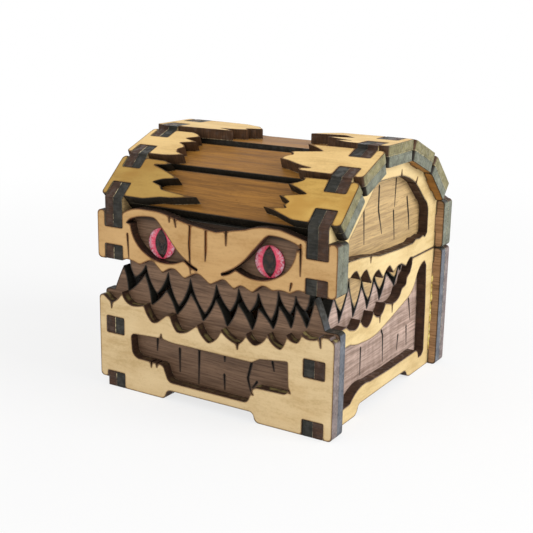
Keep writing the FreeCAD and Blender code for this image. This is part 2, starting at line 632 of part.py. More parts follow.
SIDE_WINDOW = [(-30.5, 22.2), (-29.6, 23.2, -28.4, 23.4), (-25.3, 23.5), (-21.4, 22.4, -17.4, 22.0),
               (-12.0, 21.6, -6.6, 22.0), (1.8, 24.1), (14.9, 27.7), (18.1, 29.4, 20.0, 31.5),
               (21.3, 33.8), (23.8, 36.3, 26.9, 37.3), (28.4, 35.6), (29.6, 21.7), (30.1, 5.8),
               (28.6, 4.5), (26.1, 4.5), (25.1, 6.9, 23.2, 7.5), (3.6, 7.5), (-10.7, 8.0),
               (-19.0, 7.8, -23.8, 5.1), (-30.0, 4.9)]
SIDE_SPLITS = [[(2.9, 29.4), (3.1, 25.9)], [(-5.7, 27.6), (-5.6, 24.9)]]
SIDE_CRACKS = [[(-11.6, 18.4), (-11.4, 9.2)], [(2.6, 19.9), (3.9, 17.9), (4.7, 8.6)],
               [(15.9, 14.8), (15.2, 9.4)], [(22.9, 25.2), (25.2, 17.1)], [(22.1, 16.2), (23.0, 9.0)]]

# The lid's side walls, drawn from the mouth.
SIDE_UPPER_TEETH = [(-34.2, 0.9), (-30.6, 0.9), (-28.8, -3.9, -25.6, -7.3), (-22.8, -3.3, -21.1, 1.4),
                    (-19.6, -4.2, -16.9, -8.6), (-14.2, -4.9, -12.7, -0.5), (-10.8, -4.8, -7.8, -8.2),
                    (-5.6, -4.9, -4.3, -0.7), (-2.6, -4.1, 0.0, -6.8), (2.8, -4.1, 4.3, -0.3),
                    (7.2, -3.4, 10.9, -5.5), (12.6, -3.0, 13.4, 0.1)]
SIDE_UPPER_LIP = [(-34.2, 0.9), (-32.8, 1.3), (-31.9, 3.2, -30.0, 4.2), (-26.9, 2.9),
                  (-24.9, 4.2, -22.7, 4.4), (-20.2, 1.4), (-18.3, 3.0, -16.2, 3.4), (-12.7, -1.4),
                  (-10.6, 0.9, -8.0, 1.6), (-4.6, -1.7), (-2.6, 0.3, -0.2, 1.2), (2.7, -1.6),
                  (5.2, -0.4, 8.4, -0.1), (12.0, -1.6), (13.7, -0.2, 15.6, 0.6), (16.7, 0.15)]
LID_WINDOW = [(-28.5, 8.3), (-28.5, 13.0), (-28.1, 14.2, -27.0, 15.1), (-15.0, 25.1),
              (-12.3, 27.3, -9.4, 28.2), (1.0, 27.9), (5.3, 27.7), (11.2, 26.2, 16.3, 24.0),
              (19.8, 21.3), (24.4, 17.4), (26.6, 15.6, 27.5, 13.1), (27.6, 6.4), (26.1, 5.2),
              (24.4, 6.0), (22.0, 5.5), (18.8, 5.8), (16.6, 4.9), (6.6, 5.1), (-7.7, 5.9),
              (-13.9, 7.1), (-20.5, 7.9)]
LID_SPLITS = [[(5.2, 27.4), (5.2, 29.9)], [(16.2, 23.7), (17.7, 25.9)], [(-13.8, 7.4), (-13.8, 4.8)]]
LID_CRACKS = [[(-3.4, 25.9), (-3.3, 18.4), (-0.2, 10.5)], [(8.6, 26.3), (8.2, 17.4)],
              [(7.6, 16.6), (9.1, 7.0)], [(17.3, 19.4), (19.3, 13.0), (20.2, 8.0)],
              [(-13.2, 20.1), (-12.2, 9.5)]]


def tabbed_edge(tabs):
    """One upright edge of a side wall, going up at the back: tabs are (bottom, top)."""
    edge = []
    for bottom, top in tabs:
        edge += [(INNER_DEPTH, bottom), (TAB_REACH, bottom), (TAB_REACH, top), (INNER_DEPTH, top)]
    return edge


def base_side(top_edge):
    """Side wall of the base under a top edge that runs from back to front."""
    tabs = [(0.0, FOOT_TAB_TOP), (MID_TAB_BOTTOM, MID_TAB_TOP)]
    back = tabbed_edge(tabs + [(RIM_TAB_BOTTOM, MOUTH)])[1:-1]
    front = backwards(flipped(tabbed_edge(tabs)[1:]))
    return shaped(SIDE_FEET, side_across, foot_up) + back + top_edge + front


def lid_side(bottom_edge):
    """Side wall of the lid over a bottom edge that runs from front to back."""
    front_rim = bottom_edge[0][1]
    back = tabbed_edge([(LID_RIM, LID_TAB_TOP)])[1:] + [(INNER_DEPTH, UPPER_TAB_BOTTOM),
                                                      (TAB_REACH, UPPER_TAB_BOTTOM)]
    front = [(-TAB_REACH, UPPER_TAB_BOTTOM), (-INNER_DEPTH, UPPER_TAB_BOTTOM),
             (-INNER_DEPTH, LID_TAB_TOP), (-TAB_REACH, LID_TAB_TOP), (-TAB_REACH, front_rim)]
    return bottom_edge + back + vault_rim()[::-1] + front


side_upper_teeth = shaped(SIDE_UPPER_TEETH, side_across, above_mouth) + [(side_across(16.7), LID_RIM)]
base_panel_side = base_side(shaped(SIDE_LOWER_TEETH, side_across, above_table))
base_overlay_side = base_side([(side_across(16.7), MOUTH)]
                              + shaped(SIDE_LOWER_LIP, side_across, above_table))
lid_panel_side = lid_side(side_upper_teeth)
lid_overlay_side = lid_side(shaped(SIDE_UPPER_LIP, side_across, above_mouth))
base_window = shaped(SIDE_WINDOW, side_across, above_table)
lid_window = shaped(LID_WINDOW, side_across, up_the_lid)
base_side_cracks = [shaped(places, side_across, above_table) for places in SIDE_CRACKS]
base_side_splits = [shaped(places, side_across, above_table) for places in SIDE_SPLITS]
lid_side_cracks = [shaped(places, side_across, up_the_lid) for places in LID_CRACKS]
lid_side_splits = [shaped(places, side_across, up_the_lid) for places in LID_SPLITS]

# Each sheet is padded towards +X, so a left-hand sheet's outer face is its sketch plane.
for hand, panel_x, overlay_x in (
        ("left", "-(" + SIDE_X + ") + Sizes.ply_thickness", "-(" + SIDE_X + ")"),
        ("right", SIDE_X + " - 2 * Sizes.ply_thickness", SIDE_X + " - Sizes.ply_thickness")):
    on_left = hand == "left"
    panel = new_plate("base_%s_panel" % hand, "YZ_Plane", base_panel_side)
    set_place(panel, x=panel_x, y=CENTRE_Y)
    engrave(panel, "YZ_Plane", base_side_cracks, at_sketch_plane=on_left)

    panel = new_plate("base_%s_overlay" % hand, "YZ_Plane", base_overlay_side, [base_window])
    set_place(panel, x=overlay_x, y=CENTRE_Y)
    cut_splits(panel, "YZ_Plane", base_side_splits)

    panel = new_plate("lid_%s_panel" % hand, "YZ_Plane", lid_panel_side)
    set_place(panel, x=panel_x, y=CENTRE_Y)
    engrave(panel, "YZ_Plane", lid_side_cracks, at_sketch_plane=on_left)

    panel = new_plate("lid_%s_overlay" % hand, "YZ_Plane", lid_overlay_side, [lid_window])
    set_place(panel, x=overlay_x, y=CENTRE_Y)
    cut_splits(panel, "YZ_Plane", lid_side_splits)


# ------------------------------------------------------------ roof

# Torn inner edges of the roof overlays, front to back.  The first number is across
# the chest; the second runs from -1 at the plank's front end to 1 at its back end.
LEFT_TEARS = [
    [(-31.0, -1.0), (-24.5, -1.0), (-18.8, -0.82), (-15.2, -0.79), (-10.3, -0.67), (-6.6, -0.58),
     (-11.4, -0.55), (-17.7, -0.46), (-20.0, -0.42), (-20.8, -0.26), (-24.2, -0.12), (-21.3, 0.06),
     (-16.1, 0.18), (-20.1, 0.39), (-23.3, 0.55), (-27.4, 0.71), (-23.2, 0.78), (-21.4, 0.86),
     (-24.2, 0.97), (-31.0, 1.0)],
    [(-31.0, -1.0), (-27.1, -1.0), (-23.7, -0.95), (-19.3, -0.8), (-22.7, -0.64), (-23.6, -0.42),
     (-21.9, -0.22), (-23.2, -0.05), (-25.3, 0.08), (-22.2, 0.19), (-19.7, 0.27), (-22.7, 0.38),
     (-24.9, 0.48), (-23.3, 0.56), (-20.8, 0.7), (-22.6, 0.89), (-24.8, 1.0), (-31.0, 1.0)],
    [(-31.0, -1.0), (-20.5, -0.98), (-11.6, -0.9), (-18.2, -0.56), (-13.0, -0.5), (-9.2, -0.34),
     (-11.4, -0.12), (-6.4, 0.08), (-10.2, 0.56), (-16.5, 0.88), (-25.0, 0.97), (-31.0, 1.0)],
    [(-31.0, -1.0), (-19.5, -0.9), (-24.5, -0.62), (-17.8, -0.35), (-25.8, -0.05), (-19.0, 0.3),
     (-22.6, 0.66), (-15.2, 0.86), (-30.5, 1.0)],
    [(-31.0, -1.0), (-21.5, -0.86), (-26.2, -0.5), (-14.6, -0.22), (-22.8, 0.12), (-18.4, 0.5),
     (-25.0, 0.8), (-30.5, 1.0)],
]
RIGHT_TEARS = [
    [(31.0, -1.0), (26.2, -0.99), (22.0, -0.8), (19.0, -0.65), (15.9, -0.58), (19.7, -0.54),
     (22.9, -0.49), (21.6, -0.38), (22.9, -0.22), (20.9, -0.08), (18.9, 0.02), (22.2, 0.11),
     (26.8, 0.23), (23.3, 0.44), (19.9, 0.59), (22.6, 0.72), (24.3, 0.86), (23.4, 0.98), (31.0, 1.0)],
    [(31.0, -1.0), (24.8, -0.99), (21.2, -0.97), (20.2, -0.82), (24.0, -0.72), (21.2, -0.66),
     (18.0, -0.52), (15.0, -0.37), (12.1, -0.28), (13.2, -0.01), (14.9, 0.11), (13.2, 0.32),
     (17.4, 0.42), (22.7, 0.56), (19.5, 0.8), (16.3, 0.98), (31.0, 1.0)],
    [(31.0, -1.0), (27.1, -0.94), (22.9, -0.72), (27.6, -0.6), (18.0, -0.22), (25.4, 0.06),
     (20.8, 0.42), (16.5, 0.32), (10.5, 0.15), (13.3, 0.55), (17.5, 0.93), (31.0, 1.0)],
    [(31.0, -1.0), (24.2, -0.94), (14.8, -0.6), (21.6, -0.34), (16.4, 0.02), (26.0, 0.36),
     (19.2, 0.7), (24.4, 0.95), (31.0, 1.0)],
    [(31.0, -1.0), (22.8, -0.82), (15.6, -0.4), (24.8, -0.1), (19.0, 0.34), (21.8, 0.76),
     (27.0, 0.96), (31.0, 1.0)],
]


ROOF_END = {-1: -HALF_WIDTH + size("roof_left_inset"), 1: HALF_WIDTH}   # by side


def plank_outline(front, back):
    """A whole roof plank with rounded corners."""
    left, right = ROOF_END[-1], ROOF_END[1]
    places = [(left, front), (right, front), (right, back), (left, back)]
    path = []
    for i, at in enumerate(places):
        path += corner(places[i - 1], at, places[(i + 1) % 4], size("ear_round"))
    return path


def torn_outline(front, back, tear, side):
    """A roof overlay from its outer end to its torn inner edge; side is -1 or 1."""
    outer = ROOF_END[side]
    half = (back - front) / 2
    middle = (back + front) / 2
    torn = shaped(tear, front_across, lambda share: middle + share * half)
    root = side * SLOT_MIDDLE
    return (torn + corner((root, back), (outer, back), (outer, front), size("ear_round"))
            + corner((outer, back), (outer, front), (root, front), size("ear_round")))


def lay_on_vault(body, plank, depth):
    """Turn a sheet to a plank's slope, with its inner face at a depth under the vault."""
    y, z = on_plank(plank, 0.0, depth)
    tilt = Rotation(Vector(1, 0, 0), math.degrees(slope_of(plank)))
    body.Placement = Placement(Vector(0, y, z), tilt)
    body.setExpression("Placement.Base.y", "%r + %s" % (y, CENTRE_Y))


for plank in PLANKS:
    front, back = plank_ends(plank, 2 * PLY)
    body = new_plate("roof_plank_%d" % (plank + 1), "XY_Plane", plank_outline(front, back))
    lay_on_vault(body, plank, 2 * PLY)
    cut_slots(body, "XY_Plane", PLANK_SLOTS)

    front, back = plank_ends(plank, PLY)
    for hand, tears, side in (("left", LEFT_TEARS, -1), ("right", RIGHT_TEARS, 1)):
        body = new_plate("roof_%s_plate_%d" % (hand, plank + 1), "XY_Plane",
                         torn_outline(front, back, tears[plank], side))
        lay_on_vault(body, plank, PLY)
        cut_slots(body, "XY_Plane", PLANK_SLOTS, both_ends=False, left_end=side < 0)


# ------------------------------------------------------------ floor

FLOOR_WIDTH = "2 * (%s - Sizes.slot_clearance)" % WALL_X
FLOOR_DEPTH = "Sizes.box_depth - 4 * Sizes.ply_thickness - 2 * Sizes.slot_clearance"
TAB_SPAN = "Sizes.box_depth - 2 * Sizes.ply_thickness - 2 * Sizes.tab_recess"
FLOOR_TAB_X = "(" + WALL_X + " - Sizes.floor_tab_inset)"

floor = doc.addObject("PartDesign::Body", "base_floor")
board = new_sketch(floor, "floor_board", "XY_Plane")
rectangle(board, "-(%s) / 2" % FLOOR_WIDTH, "-(%s) / 2" % FLOOR_DEPTH, FLOOR_WIDTH, FLOOR_DEPTH)
pad(floor, board, "floor_sheet", "Sizes.ply_thickness")
tongues = new_sketch(floor, "floor_tongues", "XY_Plane")
for side in ("", "-"):
    rectangle(tongues, side + FLOOR_TAB_X + " - Sizes.floor_tab_width / 2",
              "-(%s) / 2" % TAB_SPAN, "Sizes.floor_tab_width", TAB_SPAN)
pad(floor, tongues, "floor_tabs", "Sizes.ply_thickness")
set_place(floor, y=CENTRE_Y, z="Sizes.floor_height")

for label in ("base_front_panel", "base_back_panel"):
    panel = doc.getObject(label)
    sketch = new_sketch(panel, label + "_floor_slot_shape", "XZ_Plane")
    for side in ("", "-"):
        rectangle(sketch,
                  side + FLOOR_TAB_X + " - Sizes.floor_tab_width / 2 - Sizes.slot_clearance",
                  "Sizes.floor_height - Sizes.slot_clearance",
                  "Sizes.floor_tab_width + 2 * Sizes.slot_clearance",
                  "Sizes.ply_thickness + 2 * Sizes.slot_clearance")
    cut_through(panel, sketch, label + "_floor_slots")


# ------------------------------------------------------------ eyes

FACING_FRONT = Rotation(Vector(1, 0, 0), 90)      # turns a piece's +Z to the front
EYE_X = WALL_X + " * Sizes.eye_place"
EYE_Z = "Sizes.mouth_height + Sizes.eye_height"
DOME_RISE = "(Sizes.glass_height - Sizes.glass_rim)"
DOME_RADIUS = "((Sizes.eye_diameter / 2) ^ 2 + %s ^ 2) / (2 * %s)" % (DOME_RISE, DOME_RISE)

for hand, side in (("left", "-"), ("right", "")):
    iris = doc.addObject("Part::Cylinder", hand + "_iris")
    iris.setExpression("Radius", "Sizes.eye_diameter / 2")
    iris.setExpression("Height", "Sizes.iris_thickness")
    iris.Placement = Placement(Vector(), FACING_FRONT)
    set_place(iris, side + EYE_X, FRONT_Y + " + Sizes.ply_thickness", EYE_Z)

    drum = doc.addObject("Part::Cylinder", hand + "_glass_drum")
    drum.setExpression("Radius", "Sizes.eye_diameter / 2")
    drum.setExpression("Height", "Sizes.glass_height")
    ball = doc.addObject("Part::Sphere", hand + "_glass_ball")
    ball.setExpression("Radius", DOME_RADIUS)
    ball.setExpression("Placement.Base.z", "Sizes.glass_height - " + DOME_RADIUS)
    glass = doc.addObject("Part::Common", hand + "_eye")
    glass.Base = drum
    glass.Tool = ball
    glass.Placement = Placement(Vector(), FACING_FRONT)
    set_place(glass, side + EYE_X,
              FRONT_Y + " + Sizes.ply_thickness - Sizes.iris_thickness", EYE_Z)


# ------------------------------------------------------------ hinges

HALF_LID_KNUCKLE = "Sizes.lid_knuckle_width / 2"
LEAF_EDGE = "Sizes.knuckle_radius + Sizes.leaf_relief"


def new_leaf(label, up):
    """A hinge leaf round the pin at its origin; the lid's leaf stands up and has the
    middle knuckle, the base's hangs down and has the two outer ones."""
    body = doc.addObject("PartDesign::Body", label)
    plate = new_sketch(body, label + "_plate_shape", "XZ_Plane", "Sizes.pin_offset - Sizes.leaf_thickness")
    rectangle(plate, "-Sizes.leaf_width / 2", "0" if up else "-Sizes.leaf_height",
              "Sizes.leaf_width", "Sizes.leaf_height")
    pad(body, plate, label + "_plate", "Sizes.leaf_thickness")
    barrel = new_sketch(body, label + "_barrel_shape", "YZ_Plane")
    circle(barrel, "0", "0", "Sizes.knuckle_radius")
    pad(body, barrel, label + "_barrel", "Sizes.leaf_width", both_ways=True)

    relief = new_sketch(body, label + "_relief_shape", "XZ_Plane")
    bottom = "-Sizes.leaf_height" if up else "-(%s)" % LEAF_EDGE
    height = "Sizes.leaf_height + %s" % LEAF_EDGE
    if up:
        rectangle(relief, HALF_LID_KNUCKLE, bottom, "Sizes.leaf_width", height)
        rectangle(relief, "-%s - Sizes.leaf_width" % HALF_LID_KNUCKLE, bottom, "Sizes.leaf_width", height)
    else:
        rectangle(relief, "-%s - Sizes.knuckle_gap" % HALF_LID_KNUCKLE, bottom,
                  "Sizes.lid_knuckle_width + 2 * Sizes.knuckle_gap", height)
    cut_through(body, relief, label + "_relief")

    bore = new_sketch(body, label + "_bore_shape", "YZ_Plane")
    circle(bore, "0", "0", "Sizes.pin_radius + Sizes.pin_clearance" if up else "Sizes.pin_radius")
    cut_through(body, bore, label + "_bore")
    holes = new_sketch(body, label + "_hole_shape", "XZ_Plane")
    for side in ("", "-"):
        circle(holes, side + "Sizes.screw_spacing / 2",
               "Sizes.screw_height" if up else "-Sizes.screw_height",
               "Sizes.screw_radius + Sizes.screw_clearance")
    cut_through(body, holes, label + "_holes")
    return body


def new_screw(name, x, z):
    """One screw through a leaf into the back wall, head to the back."""
    shank = doc.addObject("Part::Cylinder", name + "_shank")
    shank.setExpression("Radius", "Sizes.screw_radius")
    shank.setExpression("Height", "Sizes.screw_length + Sizes.leaf_thickness")
    head = doc.addObject("Part::Cylinder", name + "_head")
    head.setExpression("Radius", "Sizes.screw_head_radius")
    head.setExpression("Height", "Sizes.screw_head_height")
    head.setExpression("Placement.Base.z", "-Sizes.screw_head_height")
    screw = doc.addObject("Part::Fuse", name)
    screw.Base = shank
    screw.Tool = head
    screw.Placement = Placement(Vector(), FACING_FRONT)
    set_place(screw, x, BACK_Y + " + Sizes.leaf_thickness", z)
    return screw


HINGE_X = "(" + WALL_X + " - Sizes.hinge_inset)"
HINGES = (("left", "-" + HINGE_X), ("right", HINGE_X))
for hand, hinge_x in HINGES:
    for part_name, up in (("base", False), ("lid", True)):
        leaf = new_leaf("%s_hinge_%s_leaf" % (hand, part_name), up)
        set_place(leaf, hinge_x, PIN_Y, PIN_Z)
    pin = doc.addObject("Part::Cylinder", hand + "_hinge_pin")
    pin.setExpression("Radius", "Sizes.pin_radius")
    pin.setExpression("Height", "Sizes.leaf_width")
    pin.Placement = Placement(Vector(), Rotation(Vector(0, 1, 0), 90))
    set_place(pin, hinge_x + " - Sizes.leaf_width / 2", PIN_Y, PIN_Z)

for part_name, screw_z in (("base", PIN_Z + " - Sizes.screw_height"),
                           ("lid", PIN_Z + " + Sizes.screw_height")):
    places = [hinge_x + side + "Sizes.screw_spacing / 2"
              for _, hinge_x in HINGES for side in (" - ", " + ")]
    screws = doc.addObject("Part::Compound", part_name + "_hinge_screws")
    screws.Links = [new_screw("%s_screw_%d" % (part_name, i), x, screw_z)
                    for i, x in enumerate(places, start=1)]
    for layer, depth in (("overlay", "Sizes.ply_thickness"),
                         ("panel", "Sizes.screw_length - Sizes.ply_thickness")):
        panel = doc.getObject("%s_back_%s" % (part_name, layer))
        sketch = new_sketch(panel, panel.Label + "_screw_hole_shape", "XZ_Plane")
        for x in places:
            circle(sketch, x, screw_z, "Sizes.screw_radius")
        holes = panel.newObject("PartDesign::Pocket", panel.Label + "_screw_holes")
        holes.Profile = sketch
        holes.setExpression("Length", depth)
        holes.Reversed = True


# ------------------------------------------------------------ check and write

doc.recompute()

inner_pieces = set()
for piece in doc.Objects:
    if piece.TypeId in ("Part::Common", "Part::Fuse"):
        inner_pieces |= {piece.Base.Name, piece.Tool.Name}
    if piece.TypeId == "Part::Compound":
        inner_pieces |= {link.Name for link in piece.Links}
KINDS = ("PartDesign::Body", "Part::Cylinder", "Part::Common", "Part::Compound")
nodes = [piece for piece in doc.Objects if piece.TypeId in KINDS and piece.Name not in inner_pieces]

for piece in doc.Objects:
    if "Invalid" in piece.State or "Error" in piece.State:
        raise RuntimeError("%s does not build: %s" % (piece.Label, piece.State))
for node in nodes:
    if node.Shape.isNull() or not node.Shape.isValid() or not node.Shape.Solids:
        raise RuntimeError("%s has no valid solid" % node.Label)

os.makedirs("parts", exist_ok=True)
for node in nodes:
    node.Shape.exportStep("parts/%s.step" % node.Label)
print("%d nodes" % len(nodes))
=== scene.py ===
import json
import math
from functools import partial

import bmesh
import bpy
from bpy.props import FloatProperty, FloatVectorProperty, PointerProperty
from mathutils import Matrix, Vector

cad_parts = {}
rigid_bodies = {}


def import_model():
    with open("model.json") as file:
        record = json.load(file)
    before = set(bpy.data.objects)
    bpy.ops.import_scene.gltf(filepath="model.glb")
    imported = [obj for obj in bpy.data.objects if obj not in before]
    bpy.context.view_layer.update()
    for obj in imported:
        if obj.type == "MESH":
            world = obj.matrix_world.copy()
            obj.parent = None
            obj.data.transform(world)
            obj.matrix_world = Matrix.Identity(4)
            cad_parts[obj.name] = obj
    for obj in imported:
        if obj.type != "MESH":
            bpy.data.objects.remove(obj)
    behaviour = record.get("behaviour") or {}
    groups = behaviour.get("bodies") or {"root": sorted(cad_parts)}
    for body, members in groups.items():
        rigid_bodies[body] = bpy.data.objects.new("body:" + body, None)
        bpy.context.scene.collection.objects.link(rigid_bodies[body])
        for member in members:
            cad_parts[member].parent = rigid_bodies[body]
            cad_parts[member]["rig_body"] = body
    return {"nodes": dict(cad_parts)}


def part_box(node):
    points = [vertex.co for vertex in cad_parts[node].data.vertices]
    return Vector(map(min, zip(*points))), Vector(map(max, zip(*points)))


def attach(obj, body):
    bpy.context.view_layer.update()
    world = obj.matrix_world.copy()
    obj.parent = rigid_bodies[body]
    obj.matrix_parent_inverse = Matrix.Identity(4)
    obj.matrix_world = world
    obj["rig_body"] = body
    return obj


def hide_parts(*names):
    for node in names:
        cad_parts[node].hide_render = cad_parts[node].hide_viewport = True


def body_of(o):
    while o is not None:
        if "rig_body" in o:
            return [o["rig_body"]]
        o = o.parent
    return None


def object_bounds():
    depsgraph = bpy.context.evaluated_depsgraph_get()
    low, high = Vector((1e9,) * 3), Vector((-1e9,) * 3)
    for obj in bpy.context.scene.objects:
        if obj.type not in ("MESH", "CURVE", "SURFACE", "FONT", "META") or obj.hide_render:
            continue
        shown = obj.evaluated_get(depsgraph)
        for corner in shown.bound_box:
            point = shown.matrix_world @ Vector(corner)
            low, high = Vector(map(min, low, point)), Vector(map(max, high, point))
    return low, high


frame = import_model()
cad_low, cad_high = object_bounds()

bl_info = {
    "name": "Dice Chest",
    "version": (1, 0, 0),
    "blender": (4, 5, 0),
    "location": "3D View > Sidebar > Chest",
    "description": "Finishes a small plywood dice chest: veneers, burnt edges, eyes, hinges",
    "category": "Object",
}

MM = 0.001
QUARTER = math.radians(90)

# Turns that lay a veneer's grain: from side to side, from front to back, and from front
# to back while it rises or sinks.
ALONG_X = (0.0, 0.0, 0.0)
ALONG_Y = (0.0, 0.0, math.radians(-90))
CLIMBING = (0.0, math.radians(-16), math.radians(-90))
FALLING = (0.0, math.radians(8), math.radians(-90))

# Patterns are worked out in millimetres.
PLY = 3.2                            # a board's thickness
FACE_VENEER = 0.55                   # the plywood's outer layers
HIGHLIGHT_HEIGHTS = (13.0, 19.0)          # the pale olive patches, ply core and painted highlight, grow stronger over these heights
HIGHLIGHT_SIDE = (12.5, 14.0)             # and are strong to the right of these, at any height

SAME_PLACE = 0.0005 * MM             # two corners this close are one
SKIN = 0.02 * MM                     # a face this near the top or bottom of a board is veneer
FLAT = math.radians(0.4)             # faces within this angle are one face
SHARP = math.radians(20)             # shading breaks at edges that turn more than this
CORNER = math.radians(50)            # metal is rounded at edges that turn more than this
NARROW = math.radians(24)            # a split thinner than this keeps its crisp edges
ENGRAVED = 1.0 * MM                  # a cut no deeper than this is an engraved crack

HANDS = ("left", "right")
HALVES = ("base", "lid")
# Each board's number moves its grain, so that no two boards match.
BOARD_NUMBERS = {node: number for number, node in enumerate(sorted(frame["nodes"]), start=1)}


def paint(red, green, blue):
    """A colour named on the 0 to 255 scale, in the linear numbers that shaders use."""
    def linear(level):
        share = level / 255
        return share / 12.92 if share <= 0.04045 else ((share + 0.055) / 1.055) ** 2.4
    return linear(red), linear(green), linear(blue)


def solid(colour):
    return (*colour, 1.0)


def scaled(colour, *factors):
    """A colour made lighter or darker, by one factor or by one for each part."""
    if len(factors) == 1:
        factors *= 3
    return tuple(part * factor for part, factor in zip(colour, factors))


# ------------------------------------------------------------ sizes and colours

def length(name, description, millimetres):
    return FloatProperty(name=name, description=description, default=millimetres * MM,
                         min=0.0, unit="LENGTH", precision=5)


def angle(name, description, degrees):
    return FloatProperty(name=name, description=description, default=math.radians(degrees),
                         unit="ROTATION")


def colour(name, description, red, green, blue):
    return FloatVectorProperty(name=name, description=description, default=paint(red, green, blue),
                               min=0.0, max=1.0, subtype="COLOR")


class ChestSizes(bpy.types.PropertyGroup):
    """Sizes of the finish; the boards' own sizes come from the frame."""
    edge_ease: length("Edge ease", "Width of the burnt arris round every board", 0.12)
    scorch_reach: length("Scorch reach", "How far a veneer is browned from its cut edge", 0.9)
    metal_ease: length("Metal ease", "Rounding on the hinges and screws", 0.12)
    glass_rim: length("Glass rim", "Height of the straight rim under an eye's dome", 1.0)
    pupil_width: length("Pupil width", "Widest part of the slit pupil", 3.7)
    pupil_height: length("Pupil height", "Tip to tip of the slit pupil", 8.4)
    pupil_lean: angle("Pupil lean", "How far the slit pupils lean", 3)
    slot_width: length("Screw slot width", "Width of the slot in a screw head", 0.4)
    slot_depth: length("Screw slot depth", "Depth of the slot in a screw head", 0.3)
    slot_lean: angle("Screw slot lean", "How far the screw slots lean from upright", 35)
    glue_bead: length("Glue bead", "Radius of the squeezed-out glue at a back corner", 0.55)
    floor_size: FloatProperty(name="Floor size", description="Side of the studio floor",
                              default=30.0, min=0.5, unit="LENGTH")


class ChestColours(bpy.types.PropertyGroup):
    """Colours of the finish."""
    base_maple: colour("Base maple", "Overlays of the base's front and back", 219, 192, 145)
    lid_maple: colour("Lid maple", "Overlays of the lid's front and back", 203, 163, 109)
    side_maple: colour("Side maple", "Overlays of the side walls", 217, 192, 138)
    roof_maple: colour("Roof maple", "Upper plates of the roof", 232, 196, 130)
    amber_maple: colour("Amber maple", "Lowest plates of the roof, from darker stock", 202, 162, 84)
    walnut: colour("Walnut", "Panels of the front", 118, 92, 72)
    back_walnut: colour("Back walnut", "Panels of the back", 162, 128, 96)
    side_walnut: colour("Side walnut", "Side panels of the base", 180, 155, 142)
    pale_walnut: colour("Pale walnut", "Side panels of the lid", 190, 160, 112)
    golden_walnut: colour("Golden walnut", "Planks of the roof", 150, 104, 46)
    maple_char: colour("Maple char", "Burnt edge of an overlay", 68, 48, 36)
    walnut_char: colour("Walnut char", "Burnt edge of a panel", 45, 44, 39)
    plate_char: colour("Plate char", "Burnt edge of the upper roof plates", 74, 51, 32)
    roof_char: colour("Roof char", "Burnt edge of the planks and lowest plates", 36, 31, 23)
    # Painted reflection: the four tints below are laid on the outer ends of the cut sides where
    # they face sideways, standing in for glossy char reflecting white surroundings.
    olive_reflection: colour("Olive ash", "Bloom on the outer ends of the roof plates", 126, 120, 86)
    slate_reflection: colour("Slate ash", "Bloom on the other outer ends of the lid", 114, 117, 102)
    mauve_reflection: colour("Mauve ash", "Bloom on the outer ends of the base's overlays", 126, 114, 112)
    blue_reflection: colour("Blue ash", "Bloom on the outer ends of the base's panels", 98, 102, 110)
    # Pale olive on upward-facing cut sides of the base's front: partly the ply's core showing
    # through thin char, partly painted highlight.
    highlight_olive: colour("Damp olive", "Damp patches on the base's front lip", 158, 146, 92)
    unburnt: colour("Unburnt line", "Ragged line along the back of a cut side", 214, 200, 160)
    crack_floor: colour("Crack floor", "Floor of the lid's engraved cracks", 226, 142, 70)
    iris: colour("Iris", "Main colour of the eyes", 248, 64, 106)
    iris_pale: colour("Iris flecks", "Pale streaks in the eyes", 255, 232, 240)
    pupil: colour("Pupil", "Slit pupils", 14, 9, 6)
    brass: colour("Brass", "Hinges, pins and screws", 206, 176, 118)
    glue: colour("Glue", "Dried glue in the back corners", 222, 200, 104)
    floor: colour("Floor", "Studio floor", 240, 240, 240)


# ------------------------------------------------------------ materials

class Value:
    """A number that changes over a surface; sums written with it add their Math nodes."""

    def __init__(self, recipe, socket):
        self.recipe = recipe
        self.socket = socket

    def worked(self, operation, first, second=0.0):
        made = self.recipe.node("ShaderNodeMath", {"operation": operation}, {0: first, 1: second})
        return Value(self.recipe, made.outputs[0])

    def __add__(self, other):
        return self.worked("ADD", self, other)

    def __radd__(self, other):
        return self.worked("ADD", other, self)

    def __sub__(self, other):
        return self.worked("SUBTRACT", self, other)

    def __rsub__(self, other):
        return self.worked("SUBTRACT", other, self)

    def __mul__(self, other):
        return self.worked("MULTIPLY", self, other)

    def __rmul__(self, other):
        return self.worked("MULTIPLY", other, self)

    def __truediv__(self, other):
        return self.worked("DIVIDE", self, other)

    def __rtruediv__(self, other):
        return self.worked("DIVIDE", other, self)

    def __pow__(self, other):
        return self.worked("POWER", self, other)

    def __abs__(self):
        return self.worked("ABSOLUTE", self)

    def rise(self, low, high):
        """0 up to low, 1 from high on, and smooth between."""
        made = self.recipe.node("ShaderNodeMapRange", {"interpolation_type": "SMOOTHSTEP"},
                                {"Value": self, "From Min": low, "From Max": high})
        return Value(self.recipe, made.outputs["Result"])

    def band(self, middle, half_width):
        """1 on a thin line where the value is middle, 0 away from it."""
        return 1 - abs(self - middle).rise(half_width * 0.5, half_width)


